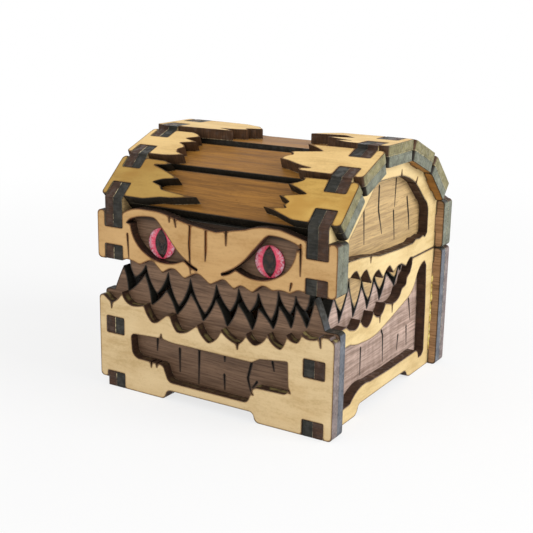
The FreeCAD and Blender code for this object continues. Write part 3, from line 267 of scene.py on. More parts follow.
class Recipe:
    """The nodes of one material, or of the world."""

    def __init__(self, owner):
        owner.use_nodes = True
        self.owner = owner
        self.tree = owner.node_tree
        self.tree.nodes.clear()

    def node(self, kind, settings=None, sockets=None):
        """Add one node: its settings first, then a value or a link for each socket."""
        made = self.tree.nodes.new(kind)
        for name, setting in (settings or {}).items():
            if name == "stops":
                self.set_stops(made.color_ramp, setting)
            else:
                setattr(made, name, setting)
        for key, given in (sockets or {}).items():
            if isinstance(given, Value):
                given = given.socket
            if isinstance(given, bpy.types.NodeSocket):
                self.tree.links.new(given, made.inputs[key])
            else:
                made.inputs[key].default_value = given
        return made

    def set_stops(self, ramp, stops):
        while len(ramp.elements) < len(stops):
            ramp.elements.new(1.0)
        for element, (position, shade) in zip(ramp.elements, stops):
            element.position = position
            element.color = solid(shade)

    def ramp(self, value, *stops):
        """A colour picked along stops, each a position and a colour."""
        return self.node("ShaderNodeValToRGB", {"stops": stops}, {"Fac": value}).outputs["Color"]

    def mix(self, share, under, over):
        """One colour laid over another by a share from 0 to 1."""
        under, over = (solid(part) if isinstance(part, tuple) and len(part) == 3 else part
                       for part in (under, over))
        return self.node("ShaderNodeMix", {"data_type": "RGBA", "blend_type": "MIX"},
                         {0: share, 6: under, 7: over}).outputs[2]

    def place(self, turn=(0.0, 0.0, 0.0), shift=(0.0, 0.0, 0.0)):
        """Object coordinates in millimetres, turned and then shifted."""
        here = self.node("ShaderNodeTexCoord").outputs["Object"]
        return self.node("ShaderNodeMapping", None,
                         {"Vector": here, "Location": shift, "Rotation": turn,
                          "Scale": (1 / MM,) * 3}).outputs["Vector"]

    def vector_maths(self, operation, sockets):
        return self.node("ShaderNodeVectorMath", {"operation": operation}, sockets).outputs

    def vector(self, operation, first, second):
        return self.vector_maths(operation, {0: first, 1: second})["Vector"]

    def dot(self, first, second):
        return Value(self, self.vector_maths("DOT_PRODUCT", {0: first, 1: second})["Value"])

    def along(self, direction, distance):
        """A plain direction made as long as a value."""
        return self.vector_maths("SCALE", {0: direction, "Scale": distance})["Vector"]

    def noise(self, place, stretch, detail=2.0, roughness=0.5):
        """Cloudy noise round 0.5, with so many waves to the millimetre each way."""
        made = self.node("ShaderNodeTexNoise", {"noise_dimensions": "3D"},
                         {"Vector": self.vector("MULTIPLY", place, stretch), "Scale": 1.0,
                          "Detail": detail, "Roughness": roughness})
        return Value(self, made.outputs[0])

    def near_edge(self, reach):
        """1 at a board's own sharp edges, falling to 0 a little inside reach."""
        inward = self.node("ShaderNodeAmbientOcclusion",
                           {"inside": True, "only_local": True, "samples": 12}, {"Distance": reach})
        return 1 - Value(self, inward.outputs["AO"]).rise(0.6, 0.98)

    def in_corners(self, reach):
        """1 deep in a piece's own grooves, slots and inner corners."""
        outward = self.node("ShaderNodeAmbientOcclusion", {"only_local": True, "samples": 12},
                            {"Distance": reach})
        return 1 - Value(self, outward.outputs["AO"]).rise(0.25, 0.85)

    def surface(self, shade, roughness, height=None, relief=0.0, **constants):
        """Close the material with one Principled shader, and relief in metres if given."""
        sockets = {"Base Color": shade, "Roughness": roughness, **constants}
        if height is not None:
            sockets["Normal"] = self.node("ShaderNodeBump", None,
                                          {"Height": height, "Distance": relief}).outputs[0]
        shader = self.node("ShaderNodeBsdfPrincipled", None, sockets)
        self.node("ShaderNodeOutputMaterial", None, {"Surface": shader.outputs[0]})
        return self.owner


def new_recipe(name):
    return Recipe(bpy.data.materials.new(name))


def grain_place(recipe, grain, number):
    """Millimetres over a board, grain along X, moved by the board's number."""
    return recipe.place(turn=grain, shift=(61.0 * number, 17.0 * number, 29.0 * number))


def waved(recipe, place, sway):
    """A place whose grain wanders sideways by up to about sway millimetres."""
    drift = recipe.noise(place, (0.03, 0.09, 0.09), detail=1.0) - 0.5
    return recipe.vector("ADD", place, recipe.along((0.0, 1.0, 1.0), drift * (2 * sway)))


def maple_veneer(name, base, grain, number, mottle):
    """Pale veneer: soft clouds, faint rays, a fine fleck, mottled patches and brown cuts."""
    recipe = new_recipe(name)
    sizes = bpy.context.scene.chest_sizes
    place = grain_place(recipe, grain, number)
    swayed = waved(recipe, place, 1.5)
    clouds = recipe.noise(swayed, (0.05, 0.14, 0.14), detail=3.0)
    rays = recipe.noise(swayed, (0.16, 1.1, 1.1), detail=2.0, roughness=0.55)
    flecks = recipe.noise(place, (1.1, 2.0, 2.0), detail=3.0, roughness=0.7)
    stain = recipe.noise(place, (0.07, 0.12, 0.12), detail=2.0)

    shade = recipe.ramp(clouds * 0.5 + rays * 0.2 + flecks * 0.3,
                        (0.38, scaled(base, 0.80, 0.75, 0.66)), (0.5, base),
                        (0.62, scaled(base, 1.10, 1.12, 1.16)))
    shade = recipe.mix(flecks.rise(0.58, 0.70) * 0.4, shade, scaled(base, 0.70, 0.60, 0.46))
    shade = recipe.mix(stain.rise(0.48, 0.70) * mottle, shade, scaled(base, 0.80, 0.68, 0.50))
    near = recipe.near_edge(sizes.scorch_reach)
    shade = recipe.mix(near * 0.35, shade, scaled(base, 0.66, 0.48, 0.30))
    shade = recipe.mix(near.rise(0.5, 1.0) * 0.9, shade, scaled(base, 0.14, 0.09, 0.06))
    roughness = 0.52 + (flecks - 0.5) * 0.3
    return recipe.surface(shade, roughness, height=flecks + rays * 0.6, relief=0.012 * MM,
                          **{"Specular IOR Level": 0.25})


def walnut_veneer(name, base, grain, number, sway, figure, curl, shaded_above):
    """Dark veneer: bands, crisp dark strokes and open pores along the grain, as strong as
    figure says, ripples across it where there is curl, and painted shade above a height if given,
    where the roof's eaves overhang it."""
    recipe = new_recipe(name)
    sizes = bpy.context.scene.chest_sizes
    place = grain_place(recipe, grain, number)
    swayed = waved(recipe, place, sway)
    bands = recipe.noise(swayed, (0.012, 0.30, 0.30), detail=2.0)
    lines = recipe.noise(swayed, (0.05, 1.5, 1.5), detail=2.0, roughness=0.6)
    strokes = recipe.noise(swayed, (0.12, 2.1, 2.1), detail=1.0)
    pores = recipe.noise(swayed, (0.7, 4.5, 4.5), detail=1.0)
    ripples = recipe.noise(place, (0.5, 0.14, 0.14), detail=1.0) - 0.5

    tone = 0.5 + (bands * 0.45 + lines * 0.55 - 0.5) * figure + ripples * curl
    shade = recipe.ramp(tone, (0.38, scaled(base, 0.56, 0.52, 0.48)), (0.5, base),
                        (0.62, scaled(base, 1.36, 1.38, 1.38)))
    shade = recipe.mix(strokes.rise(0.55, 0.62) * (0.6 * figure), shade,
                       scaled(base, 0.40, 0.36, 0.33))
    shade = recipe.mix(pores.rise(0.60, 0.72) * 0.4, shade, scaled(base, 0.40, 0.36, 0.32))
    # Painted shade: the veneer turns dark above this height, where the roof's eaves overhang it.
    if shaded_above:
        height = recipe.dot(recipe.place(), (0.0, 0.0, 1.0))
        painted_shade = height.rise(shaded_above - 1, shaded_above + 1) * 0.85
        shade = recipe.mix(painted_shade, shade, scaled(base, 0.12))
    near = recipe.near_edge(sizes.scorch_reach)
    shade = recipe.mix(near.rise(0.3, 1.0) * 0.9, shade, scaled(base, 0.10, 0.09, 0.08))
    roughness = 0.50 + (lines - 0.5) * 0.4
    return recipe.surface(shade, roughness, height=1 - (strokes * 0.6 + pores.rise(0.5, 0.7) * 0.6),
                          relief=0.02 * MM, **{"Specular IOR Level": 0.25})


def cut_edge(name, char, ash, across, top, reach, pale_back=0.0, core_highlight=0.0, painted_shade=0.0,
             crack_floor=None):
    """A board's laser-cut side: burnt, streaked through the thickness, its layers just
    showing, a painted reflection on the outer ends where they face sideways, on some
    upward-facing sides pale olive patches of ply core and painted highlight, on others
    painted shade, and where a colour is given for it, a browner floor in engraved cracks."""
    recipe = new_recipe(name)
    colours = bpy.context.scene.chest_colours
    place = recipe.place()
    depth = top / MM - recipe.dot(place, across)
    beam_place = recipe.vector("ADD", place, recipe.along(across, depth * 0.93))
    beam = recipe.noise(beam_place, (3.0, 3.0, 3.0), detail=2.0, roughness=0.6)
    smoke = recipe.noise(place, (0.32, 0.32, 0.32), detail=3.0)
    grit = recipe.noise(place, (2.6, 2.6, 1.3), detail=3.0, roughness=0.7)
    sheen = recipe.noise(place, (0.55, 0.55, 0.55), detail=2.0)
    outward = recipe.node("ShaderNodeTexCoord").outputs["Normal"]
    sideways = abs(recipe.dot(outward, (1.0, 0.0, 0.0)))
    upward = recipe.dot(outward, (0.0, 0.0, 1.0))

    # Lighter streaks along the beam marks: partly real striation, partly painted highlight.
    shade = recipe.ramp(beam * 0.6 + smoke * 0.4, (0.38, scaled(char, 0.6)), (0.52, char),
                        (0.66, scaled(char, 1.6, 1.5, 1.42)))
    # Pale olive patches on upward-facing sides, in the ply's core: partly core showing through thin
    # char, partly painted highlight from light above and glossy reflection.
    if core_highlight:
        core = 1 - abs(depth - PLY * 0.55).rise(0.3, 1.2)
        high = recipe.dot(place, (0.0, 0.0, 1.0)).rise(*HIGHLIGHT_HEIGHTS)
        right = recipe.dot(place, (1.0, 0.0, 0.0)).rise(*HIGHLIGHT_SIDE)
        spread = 1 - (1 - high) * (1 - right) * 0.8
        highlight_patches = core * upward.rise(0.3, 0.8) * smoke.rise(0.42, 0.58) * spread * core_highlight
        shade = recipe.mix(highlight_patches, shade, tuple(colours.highlight_olive))
    # Painted shade: upward-facing sides darkened, standing in for the shade under the overhangs
    # above them.
    if painted_shade:
        shade = recipe.mix(upward.rise(0.5, 0.9) * painted_shade, shade, scaled(char, 0.35, 0.4, 0.5))
    if crack_floor:
        floor_of_crack = abs(recipe.dot(outward, across)).rise(0.9, 0.98)
        shade = recipe.mix(floor_of_crack, shade, crack_floor)
    # Painted reflection: outer ends that face sideways take a grey tint, standing in for glossy
    # char reflecting white surroundings.
    painted_reflection = recipe.ramp(grit * 0.6 + smoke * 0.4, (0.38, scaled(ash, 0.6)), (0.5, ash),
                        (0.62, scaled(ash, 1.45)))
    outer = abs(recipe.dot(place, (1.0, 0.0, 0.0))).rise(reach / MM - 6, reach / MM - 4)
    shade = recipe.mix(sideways.rise(0.75, 0.98) * outer * 0.92, shade, painted_reflection)
    glue_lines = depth.band(FACE_VENEER, 0.09) + depth.band(PLY - FACE_VENEER, 0.09)
    shade = recipe.mix(glue_lines * 0.3, shade, scaled(char, 0.3))
    if pale_back:
        ragged = grit.rise(0.42, 0.54) * smoke.rise(0.36, 0.50)
        line = depth.band(PLY - 0.06, 0.15) * ragged * pale_back
        shade = recipe.mix(line, shade, tuple(colours.unburnt))
    gloss = sheen.rise(0.5, 0.62)
    return recipe.surface(shade, 0.64 - gloss * 0.2, height=beam - glue_lines * 0.8,
                          relief=0.03 * MM, **{"Coat Weight": gloss * 0.2, "Coat Roughness": 0.32,
                                               "Specular IOR Level": 0.22})


def iris_print(name, centre):
    """A printed iris: streaks out from a slit pupil, pale flecks and a dark ring."""
    recipe = new_recipe(name)
    sizes = bpy.context.scene.chest_sizes
    colours = bpy.context.scene.chest_colours
    lean = sizes.pupil_lean
    place = recipe.place(shift=tuple(-part / MM for part in centre))
    split = recipe.node("ShaderNodeSeparateXYZ", None, {0: place})
    x, z = Value(recipe, split.outputs[0]), Value(recipe, split.outputs[2])
    reach = (x * x + z * z + 0.0001) ** 0.5
    ray_place = recipe.node("ShaderNodeCombineXYZ", None,
                            {0: x / reach * 4.6, 1: reach * 0.34, 2: z / reach * 4.6}).outputs[0]
    streaks = recipe.noise(ray_place, (1.0, 1.0, 1.0), detail=4.0, roughness=0.62)
    flecks = recipe.noise(ray_place, (2.3, 5.0, 2.3), detail=3.0, roughness=0.6)

    base = tuple(colours.iris)
    pale = tuple(colours.iris_pale)
    shade = recipe.ramp(streaks, (0.34, scaled(base, 0.75, 0.3, 0.5)), (0.46, base),
                        (0.54, scaled(base, 1.1, 4.2, 2.3)), (0.63, pale))
    shade = recipe.mix(flecks.rise(0.455, 0.565) * reach.rise(2.3, 3.5) * 0.95, shade, pale)
    shade = recipe.mix(reach.rise(4.05, 4.45) * 0.7, shade, scaled(base, 0.4, 0.3, 0.4))
    across = x * math.cos(lean) + z * math.sin(lean)
    up = z * math.cos(lean) - x * math.sin(lean)
    half_width = sizes.pupil_width / MM / 2
    half_height = sizes.pupil_height / MM / 2
    room = half_width * (1 - (up / half_height) ** 2) - abs(across)
    dark = tuple(colours.pupil)
    pupil = recipe.ramp(recipe.noise(place, (1.1, 1.1, 1.1), detail=4.0, roughness=0.7),
                        (0.42, scaled(dark, 0.6)), (0.62, scaled(dark, 13.0, 8.5, 6.0)))
    shade = recipe.mix(room.rise(-2.3, -0.4) * 0.8, shade, scaled(base, 1.0, 0.9, 0.85))
    shade = recipe.mix(room.rise(-0.35, 0.0) * 0.6, shade, scaled(base, 0.5, 0.3, 0.4))
    shade = recipe.mix(room.rise(-0.08, 0.08), shade, pupil)
    return recipe.surface(shade, 0.35, height=streaks, relief=0.01 * MM,
                          **{"Specular IOR Level": 0.08})


def eye_glass(name):
    """Clear pressed glass with the faintest ripple and thumb smears."""
    recipe = new_recipe(name)
    place = recipe.place()
    ripple = recipe.noise(place, (0.25, 0.25, 0.25), detail=1.0)
    smear = recipe.noise(place, (0.8, 0.8, 0.8), detail=2.0)
    return recipe.surface((1.0, 1.0, 1.0, 1.0), 0.012 + smear.rise(0.5, 0.8) * 0.03, height=ripple,
                          relief=0.02 * MM, **{"Transmission Weight": 1.0, "IOR": 1.36})


def brushed_brass(name):
    """Rolled brass: fine lines along the leaf, duller patches, and darker, rougher corners."""
    recipe = new_recipe(name)
    base = tuple(bpy.context.scene.chest_colours.brass)
    place = recipe.place()
    lines = recipe.noise(place, (0.25, 9.0, 9.0), detail=2.0)
    tarnish = recipe.noise(place, (0.45, 0.45, 0.45), detail=4.0)
    shade = recipe.mix(tarnish.rise(0.45, 0.7) * 0.35, base, scaled(base, 0.72, 0.62, 0.48))
    # Darker and rougher deep in the piece's own grooves, slots and inner corners.
    corner_mask = recipe.in_corners(0.7 * MM)
    shade = recipe.mix(corner_mask * 0.85, shade, scaled(base, 0.12, 0.09, 0.07))
    roughness = 0.26 + tarnish.rise(0.4, 0.7) * 0.12 + (lines - 0.5) * 0.1 + corner_mask * 0.3
    return recipe.surface(shade, roughness, height=lines, relief=0.006 * MM, Metallic=1.0)


def dried_glue(name):
    """Amber glue, cloudy in its thicker places."""
    recipe = new_recipe(name)
    base = tuple(bpy.context.scene.chest_colours.glue)
    clouds = recipe.noise(recipe.place(), (0.8, 0.8, 0.8), detail=3.0)
    shade = recipe.ramp(clouds, (0.38, scaled(base, 0.55, 0.42, 0.25)), (0.5, base),
                        (0.64, scaled(base, 1.1, 1.2, 2.0)))
    return recipe.surface(shade, 0.22, height=clouds, relief=0.1 * MM,
                          **{"Coat Weight": 0.5, "Coat Roughness": 0.1})


# ------------------------------------------------------------ making pieces

def node_mesh(node):
    """A frame node's mesh, merged and with its flat faces whole again."""
    made = bmesh.new()
    made.from_mesh(frame["nodes"][node].data)
    bmesh.ops.remove_doubles(made, verts=made.verts, dist=SAME_PLACE)
    bmesh.ops.dissolve_limit(made, angle_limit=FLAT, verts=made.verts, edges=made.edges)
    return made


def verts_among(parts):
    """The corners among the parts that an operation made."""
    return [part for part in parts if isinstance(part, bmesh.types.BMVert)]


def ease(made, edges, width):
    bmesh.ops.bevel(made, geom=edges, affect="EDGES", offset=width, offset_type="OFFSET",
                    segments=2, profile=0.5, material=-1, clamp_overlap=False, miter_outer="ARC")


def shade_smooth(made):
    """Smooth shading broken at sharp edges."""
    for face in made.faces:
        face.smooth = True
    for edge in made.edges:
        edge.smooth = edge.calc_face_angle(0.0) < SHARP


def finish_piece(made, name, materials, slot, *nodes, body=None):
    """Turn a bmesh into a piece that stands for its frame nodes and rides with them."""
    mesh = bpy.data.meshes.new(name)
    made.to_mesh(mesh)
    made.free()
    for material in materials:
        mesh.materials.append(material)
    piece = bpy.data.objects.new(name, mesh)
    bpy.context.scene.collection.objects.link(piece)
    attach(piece, body or body_of(frame["nodes"][nodes[0]])[0])
    if nodes:
        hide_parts(*nodes)
    return piece


def outward_normal(made):
    """The direction square to a board that points away from the middle of the chest."""
    widest = max(made.faces, key=lambda face: face.calc_area())
    middle = (cad_low + cad_high) / 2
    across = widest.normal.copy()
    if (widest.calc_center_median() - middle).dot(across) < 0:
        across.negate()
    return across


def arrises(made, across):
    """The edges where a board's faces meet its cut sides, but for engraved cracks and the
    thin ends of splits."""
    found = set()
    for edge in made.edges:
        if edge.is_manifold and edge.is_convex:
            side, face = sorted(edge.link_faces, key=lambda near: abs(near.normal.dot(across)))
            heights = [vert.co.dot(across) for vert in side.verts]
            deep = max(heights) - min(heights) > ENGRAVED
            if deep and abs(side.normal.dot(across)) < 0.5 and abs(face.normal.dot(across)) > 0.99:
                found.add(edge)
    for vert in made.verts:
        meeting = [edge for edge in vert.link_edges if edge in found]
        if len(meeting) == 2:
            ways = [(edge.other_vert(vert).co - vert.co).normalized() for edge in meeting]
            if ways[0].dot(ways[1]) > math.cos(NARROW):
                found.difference_update(meeting)
    return list(found)


def burnt(node):
    """The colours of a board's cut sides: the char, and the painted reflection tint on its outer
    ends.
    """
    colours = bpy.context.scene.chest_colours
    base = node.startswith("base")
    if node.startswith("roof_plank"):
        found = colours.roof_char, colours.slate_reflection
    elif "plate" in node:
        found = colours.roof_char if node.endswith("1") else colours.plate_char, colours.olive_reflection
    elif "overlay" in node:
        found = colours.maple_char, colours.mauve_reflection if base else colours.slate_reflection
    else:
        found = colours.walnut_char, colours.blue_reflection if base else colours.slate_reflection
    return tuple(found[0]), tuple(found[1])


def cut_board(node, make_veneer, slot, **edge_looks):
    """One plywood board: eased, veneered on its two faces and burnt on its cut sides."""
    made = node_mesh(node)
    across = outward_normal(made)
    heights = [vert.co.dot(across) for vert in made.verts]
    top, bottom = max(heights), min(heights)
    reach = max(abs(vert.co.x) for vert in made.verts)
    ease(made, arrises(made, across), bpy.context.scene.chest_sizes.edge_ease)
    bmesh.ops.triangulate(made, faces=made.faces)
    for face in made.faces:
        height = face.calc_center_median().dot(across)
        outside = min(top - height, height - bottom) < SKIN
        face.material_index = 0 if outside and abs(face.normal.dot(across)) > 0.99 else 1
    shade_smooth(made)
    veneer = make_veneer(node + "_veneer", number=BOARD_NUMBERS[node])
    sides = cut_edge(node + "_cut_edge", *burnt(node), tuple(across), top, reach, **edge_looks)
    return finish_piece(made, node + "_board", [veneer, sides], slot, node)


def maple_board(node, base, grain=ALONG_X, mottle=0.22, pale_back=0.6, **edge_looks):
    veneer = partial(maple_veneer, base=tuple(base), grain=grain, mottle=mottle)
    return cut_board(node, veneer, "maple_ply", pale_back=pale_back, **edge_looks)


def walnut_board(node, base, grain=ALONG_X, sway=1.0, figure=0.8, curl=0.0, shaded_above=None):
    veneer = partial(walnut_veneer, base=tuple(base), grain=grain, sway=sway, figure=figure,
                     curl=curl, shaded_above=shaded_above)
    return cut_board(node, veneer, "walnut_ply")


def rounded_edges(made):
    """The edges of a metal part that lose their sharpness."""
    return [edge for edge in made.edges
            if edge.is_manifold and edge.is_convex and edge.calc_face_angle(0.0) > CORNER]


def eased_metal(node, material):
    """A hinge part with its outer corners rounded."""
    made = node_mesh(node)
    ease(made, rounded_edges(made), bpy.context.scene.chest_sizes.metal_ease)
    bmesh.ops.triangulate(made, faces=made.faces)
    shade_smooth(made)
    return finish_piece(made, node + "_brass", [material], "hinge_brass", node)


def cut_slot(made, head):
    """A screwdriver slot pressed into one screw head, inside its rim."""
    sizes = bpy.context.scene.chest_sizes
    bmesh.ops.inset_region(made, faces=[head], thickness=sizes.metal_ease * 1.5,
                           use_even_offset=True)
    middle = head.calc_center_median()
    inward = -head.normal
    lean = sizes.slot_lean if middle.x > 0 else -sizes.slot_lean
    side = Vector((math.sin(lean), 0.0, math.cos(lean)))
    parts = [head]
    for edge_side in (side, -side):
        cut = bmesh.ops.bisect_plane(
            made, geom=list({part for face in parts for part in (*face.verts, *face.edges, face)}),
            dist=SAME_PLACE, plane_co=middle + edge_side * sizes.slot_width / 2, plane_no=edge_side)
        parts = [part for part in cut["geom"] if isinstance(part, bmesh.types.BMFace)]
    strip = min(parts, key=lambda face: abs((face.calc_center_median() - middle).dot(side)))
    pressed = bmesh.ops.extrude_face_region(made, geom=[strip])["geom"]
    bmesh.ops.delete(made, geom=[strip], context="FACES_ONLY")
    bmesh.ops.translate(made, verts=verts_among(pressed), vec=inward * sizes.slot_depth)


# ------------------------------------------------------------ operators

class CHEST_OT_inner_panels(bpy.types.Operator):
    """Dark walnut panels inside every wall, and the floor board"""
    bl_idname = "chest.inner_panels"
    bl_label = "Inner Panels"

    SHADE_HEIGHT = 54.2               # millimetres, above which the lid's front panel gets painted shade, where it goes under the eaves

    def execute(self, context):
        colours = context.scene.chest_colours
        walnut_board("base_front_panel", colours.walnut)
        walnut_board("lid_front_panel", colours.walnut, shaded_above=self.SHADE_HEIGHT)
        for half in HALVES:
            walnut_board(half + "_back_panel", colours.back_walnut)
        for wall in HANDS:
            walnut_board("base_%s_panel" % wall, colours.side_walnut, grain=CLIMBING, curl=0.2)
            walnut_board("lid_%s_panel" % wall, colours.pale_walnut, grain=FALLING, figure=0.6)
        maple_board("base_floor", colours.base_maple)
        return {"FINISHED"}


class CHEST_OT_outer_overlays(bpy.types.Operator):
    """Pale maple overlays outside every wall"""
    bl_idname = "chest.outer_overlays"
    bl_label = "Outer Overlays"

    LIP_HIGHLIGHT = 0.6                       # strength of the pale olive patches on the base's front lip, ply core and painted highlight
    UPPER_SIDE_SHADE = 0.75                      # and of the painted shade on the upward-facing sides of the lid's front
    SIDE_LINES = {"left": 0.95, "right": 0.35}       # and of the unburnt lines on the walls

    def execute(self, context):
        colours = context.scene.chest_colours
        maples = {"base": colours.base_maple, "lid": colours.lid_maple}
        fronts = {"base": {"core_highlight": self.LIP_HIGHLIGHT},
                  "lid": {"painted_shade": self.UPPER_SIDE_SHADE, "crack_floor": tuple(colours.crack_floor)}}
        for half in HALVES:
            maple_board(half + "_front_overlay", maples[half], **fronts[half])
            maple_board(half + "_back_overlay", maples[half])
            for wall in HANDS:
                maple_board("%s_%s_overlay" % (half, wall), colours.side_maple, grain=ALONG_Y,
                            pale_back=self.SIDE_LINES[wall])
        return {"FINISHED"}


class CHEST_OT_roof_planks(bpy.types.Operator):
    """The five walnut planks of the vault"""
    bl_idname = "chest.roof_planks"
    bl_label = "Roof Planks"

    def execute(self, context):
        colours = context.scene.chest_colours
        for plank in range(1, 6):
            walnut_board("roof_plank_%d" % plank, colours.golden_walnut, figure=0.6)
        return {"FINISHED"}


class CHEST_OT_roof_plates(bpy.types.Operator):
    """The torn maple plates at both ends of the vault"""
    bl_idname = "chest.roof_plates"
    bl_label = "Roof Plates"

    LEFT_SHADE = 0.76                # painted shade: how much darker the left side's lowest plate is, as less light reaches it

    def execute(self, context):
        colours = context.scene.chest_colours
        amber = {"left": scaled(colours.amber_maple, self.LEFT_SHADE), "right": colours.amber_maple}
        for hand in HANDS:
            maple_board("roof_%s_plate_1" % hand, amber[hand], mottle=0.75)
            for plank in range(2, 6):
                maple_board("roof_%s_plate_%d" % (hand, plank), colours.roof_maple)
        return {"FINISHED"}


class CHEST_OT_eyes(bpy.types.Operator):
    """Domed glass eyes over printed irises"""
    bl_idname = "chest.eyes"
    bl_label = "Eyes"

    SEGMENTS = 64                    # round an eye
    STEPS = 14                       # from the rim of its glass to the top
    IRIS_PLAY = 0.08 * MM            # between the iris and the glass's edge
    IRIS_PROUD = 0.03 * MM           # how far the iris stands out of the glass's back
    BACK_EASE = 0.1 * MM             # taken off the glass's back edge

    def execute(self, context):
        glass = eye_glass("pressed_glass")
        for hand in HANDS:
            glass_low, glass_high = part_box(hand + "_eye")
            iris_low, iris_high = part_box(hand + "_iris")
            middle = (glass_low + glass_high) / 2
            radius = (glass_high.x - glass_low.x) / 2
            self.make_iris(hand, middle, radius, iris_low.y, iris_high.y)
            self.make_dome(hand, middle, radius, glass_low.y, iris_high.y - self.IRIS_PROUD, glass)
        return {"FINISHED"}

    def make_iris(self, hand, middle, radius, front, back):
        """A thin printed disc, a hair smaller than the glass it sits in."""
        made = bmesh.new()
        bmesh.ops.create_circle(made, cap_ends=True, segments=self.SEGMENTS,
                                radius=radius - self.IRIS_PLAY,
                                matrix=Matrix.Translation((middle.x, back, middle.z))
                                @ Matrix.Rotation(QUARTER, 4, "X"))
        grown = bmesh.ops.extrude_face_region(made, geom=list(made.faces))["geom"]
        bmesh.ops.translate(made, verts=verts_among(grown), vec=(0.0, front - back, 0.0))
        bmesh.ops.recalc_face_normals(made, faces=made.faces)
        shade_smooth(made)
        ink = iris_print(hand + "_iris_ink", middle)
        finish_piece(made, hand + "_iris_print", [ink], "iris", hand + "_iris")

    def make_dome(self, hand, middle, radius, front, back, glass):
        """A flat-backed dome, turned from its profile; it closes over the iris."""
        shoulder = back - bpy.context.scene.chest_sizes.glass_rim
        rise = shoulder - front
        ball = (radius ** 2 + rise ** 2) / (2 * rise)
        widest = math.asin(radius / ball)
        made = bmesh.new()
        profile = [(0.0, back), (radius - self.BACK_EASE, back), (radius, back - self.BACK_EASE)]
        for step in range(self.STEPS, -1, -1):
            lean = widest * step / self.STEPS
            profile.append((ball * math.sin(lean), front + ball - ball * math.cos(lean)))
        corners = [made.verts.new((middle.x + out, y, middle.z)) for out, y in profile]
        for start, end in zip(corners, corners[1:]):
            made.edges.new((start, end))
        bmesh.ops.spin(made, geom=[*made.verts, *made.edges], cent=middle, axis=(0.0, 1.0, 0.0),
                       angle=math.tau, steps=self.SEGMENTS, use_merge=True)
        bmesh.ops.remove_doubles(made, verts=made.verts, dist=SAME_PLACE)
        bmesh.ops.recalc_face_normals(made, faces=made.faces)
        shade_smooth(made)
        finish_piece(made, hand + "_glass_dome", [glass], "eye_glass", hand + "_eye")


class CHEST_OT_hinges(bpy.types.Operator):
    """Two brass butt hinges and their pins"""
    bl_idname = "chest.hinges"
    bl_label = "Hinges"

    def execute(self, context):
        brass = brushed_brass("rolled_brass")
        for hand in HANDS:
            for part in ("base_leaf", "lid_leaf", "pin"):
                eased_metal("%s_hinge_%s" % (hand, part), brass)
        return {"FINISHED"}


class CHEST_OT_screws(bpy.types.Operator):
    """Slotted brass screws that hold the hinges"""
    bl_idname = "chest.screws"
    bl_label = "Screws"

    def execute(self, context):
        brass = brushed_brass("turned_brass")
        sizes = context.scene.chest_sizes
        for half in HALVES:
            node = half + "_hinge_screws"
            made = node_mesh(node)
            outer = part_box(node)[1].y
            rims = [edge for edge in rounded_edges(made)
                    if all(abs(vert.co.y - outer) < SAME_PLACE for vert in edge.verts)]
            ease(made, rims, sizes.metal_ease)
            heads = [face for face in made.faces if face.normal.y > 0.99
                     and abs(face.calc_center_median().y - outer) < SAME_PLACE]
            for head in heads:
                cut_slot(made, head)
            bmesh.ops.triangulate(made, faces=made.faces)
            shade_smooth(made)
            finish_piece(made, node + "_brass", [brass], "hinge_brass", node)
        return {"FINISHED"}


class CHEST_OT_glue(bpy.types.Operator):
    """Beads of dried glue down the back corners of the base"""
    bl_idname = "chest.glue"
    bl_label = "Glue Beads"

    BEADS = (                        # height in millimetres, thickness, length for thickness
        (6.5, 0.7, 4.2), (9.6, 0.9, 3.4), (12.6, 0.65, 4.6), (16.4, 1.0, 3.2),
        (19.4, 0.8, 4.0), (23.2, 1.05, 2.8), (26.4, 0.7, 4.4), (29.8, 0.85, 3.0),
    )

    def execute(self, context):
        bead = context.scene.chest_sizes.glue_bead
        glue = dried_glue("amber_glue")
        back_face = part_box("base_back_panel")[0].y
        for hand in HANDS:
            wall = max((corner.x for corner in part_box("base_%s_overlay" % hand)), key=abs)
            made = bmesh.new()
            for height, size, run in self.BEADS:
                bmesh.ops.create_icosphere(made, subdivisions=3, radius=bead * size,
                                           matrix=Matrix.Translation((wall, back_face, height * MM))
                                           @ Matrix.Diagonal((1.0, 1.0, run, 1.0)))
            shade_smooth(made)
            finish_piece(made, "base_%s_glue" % hand, [glue], "maple_ply", body="base")
        return {"FINISHED"}


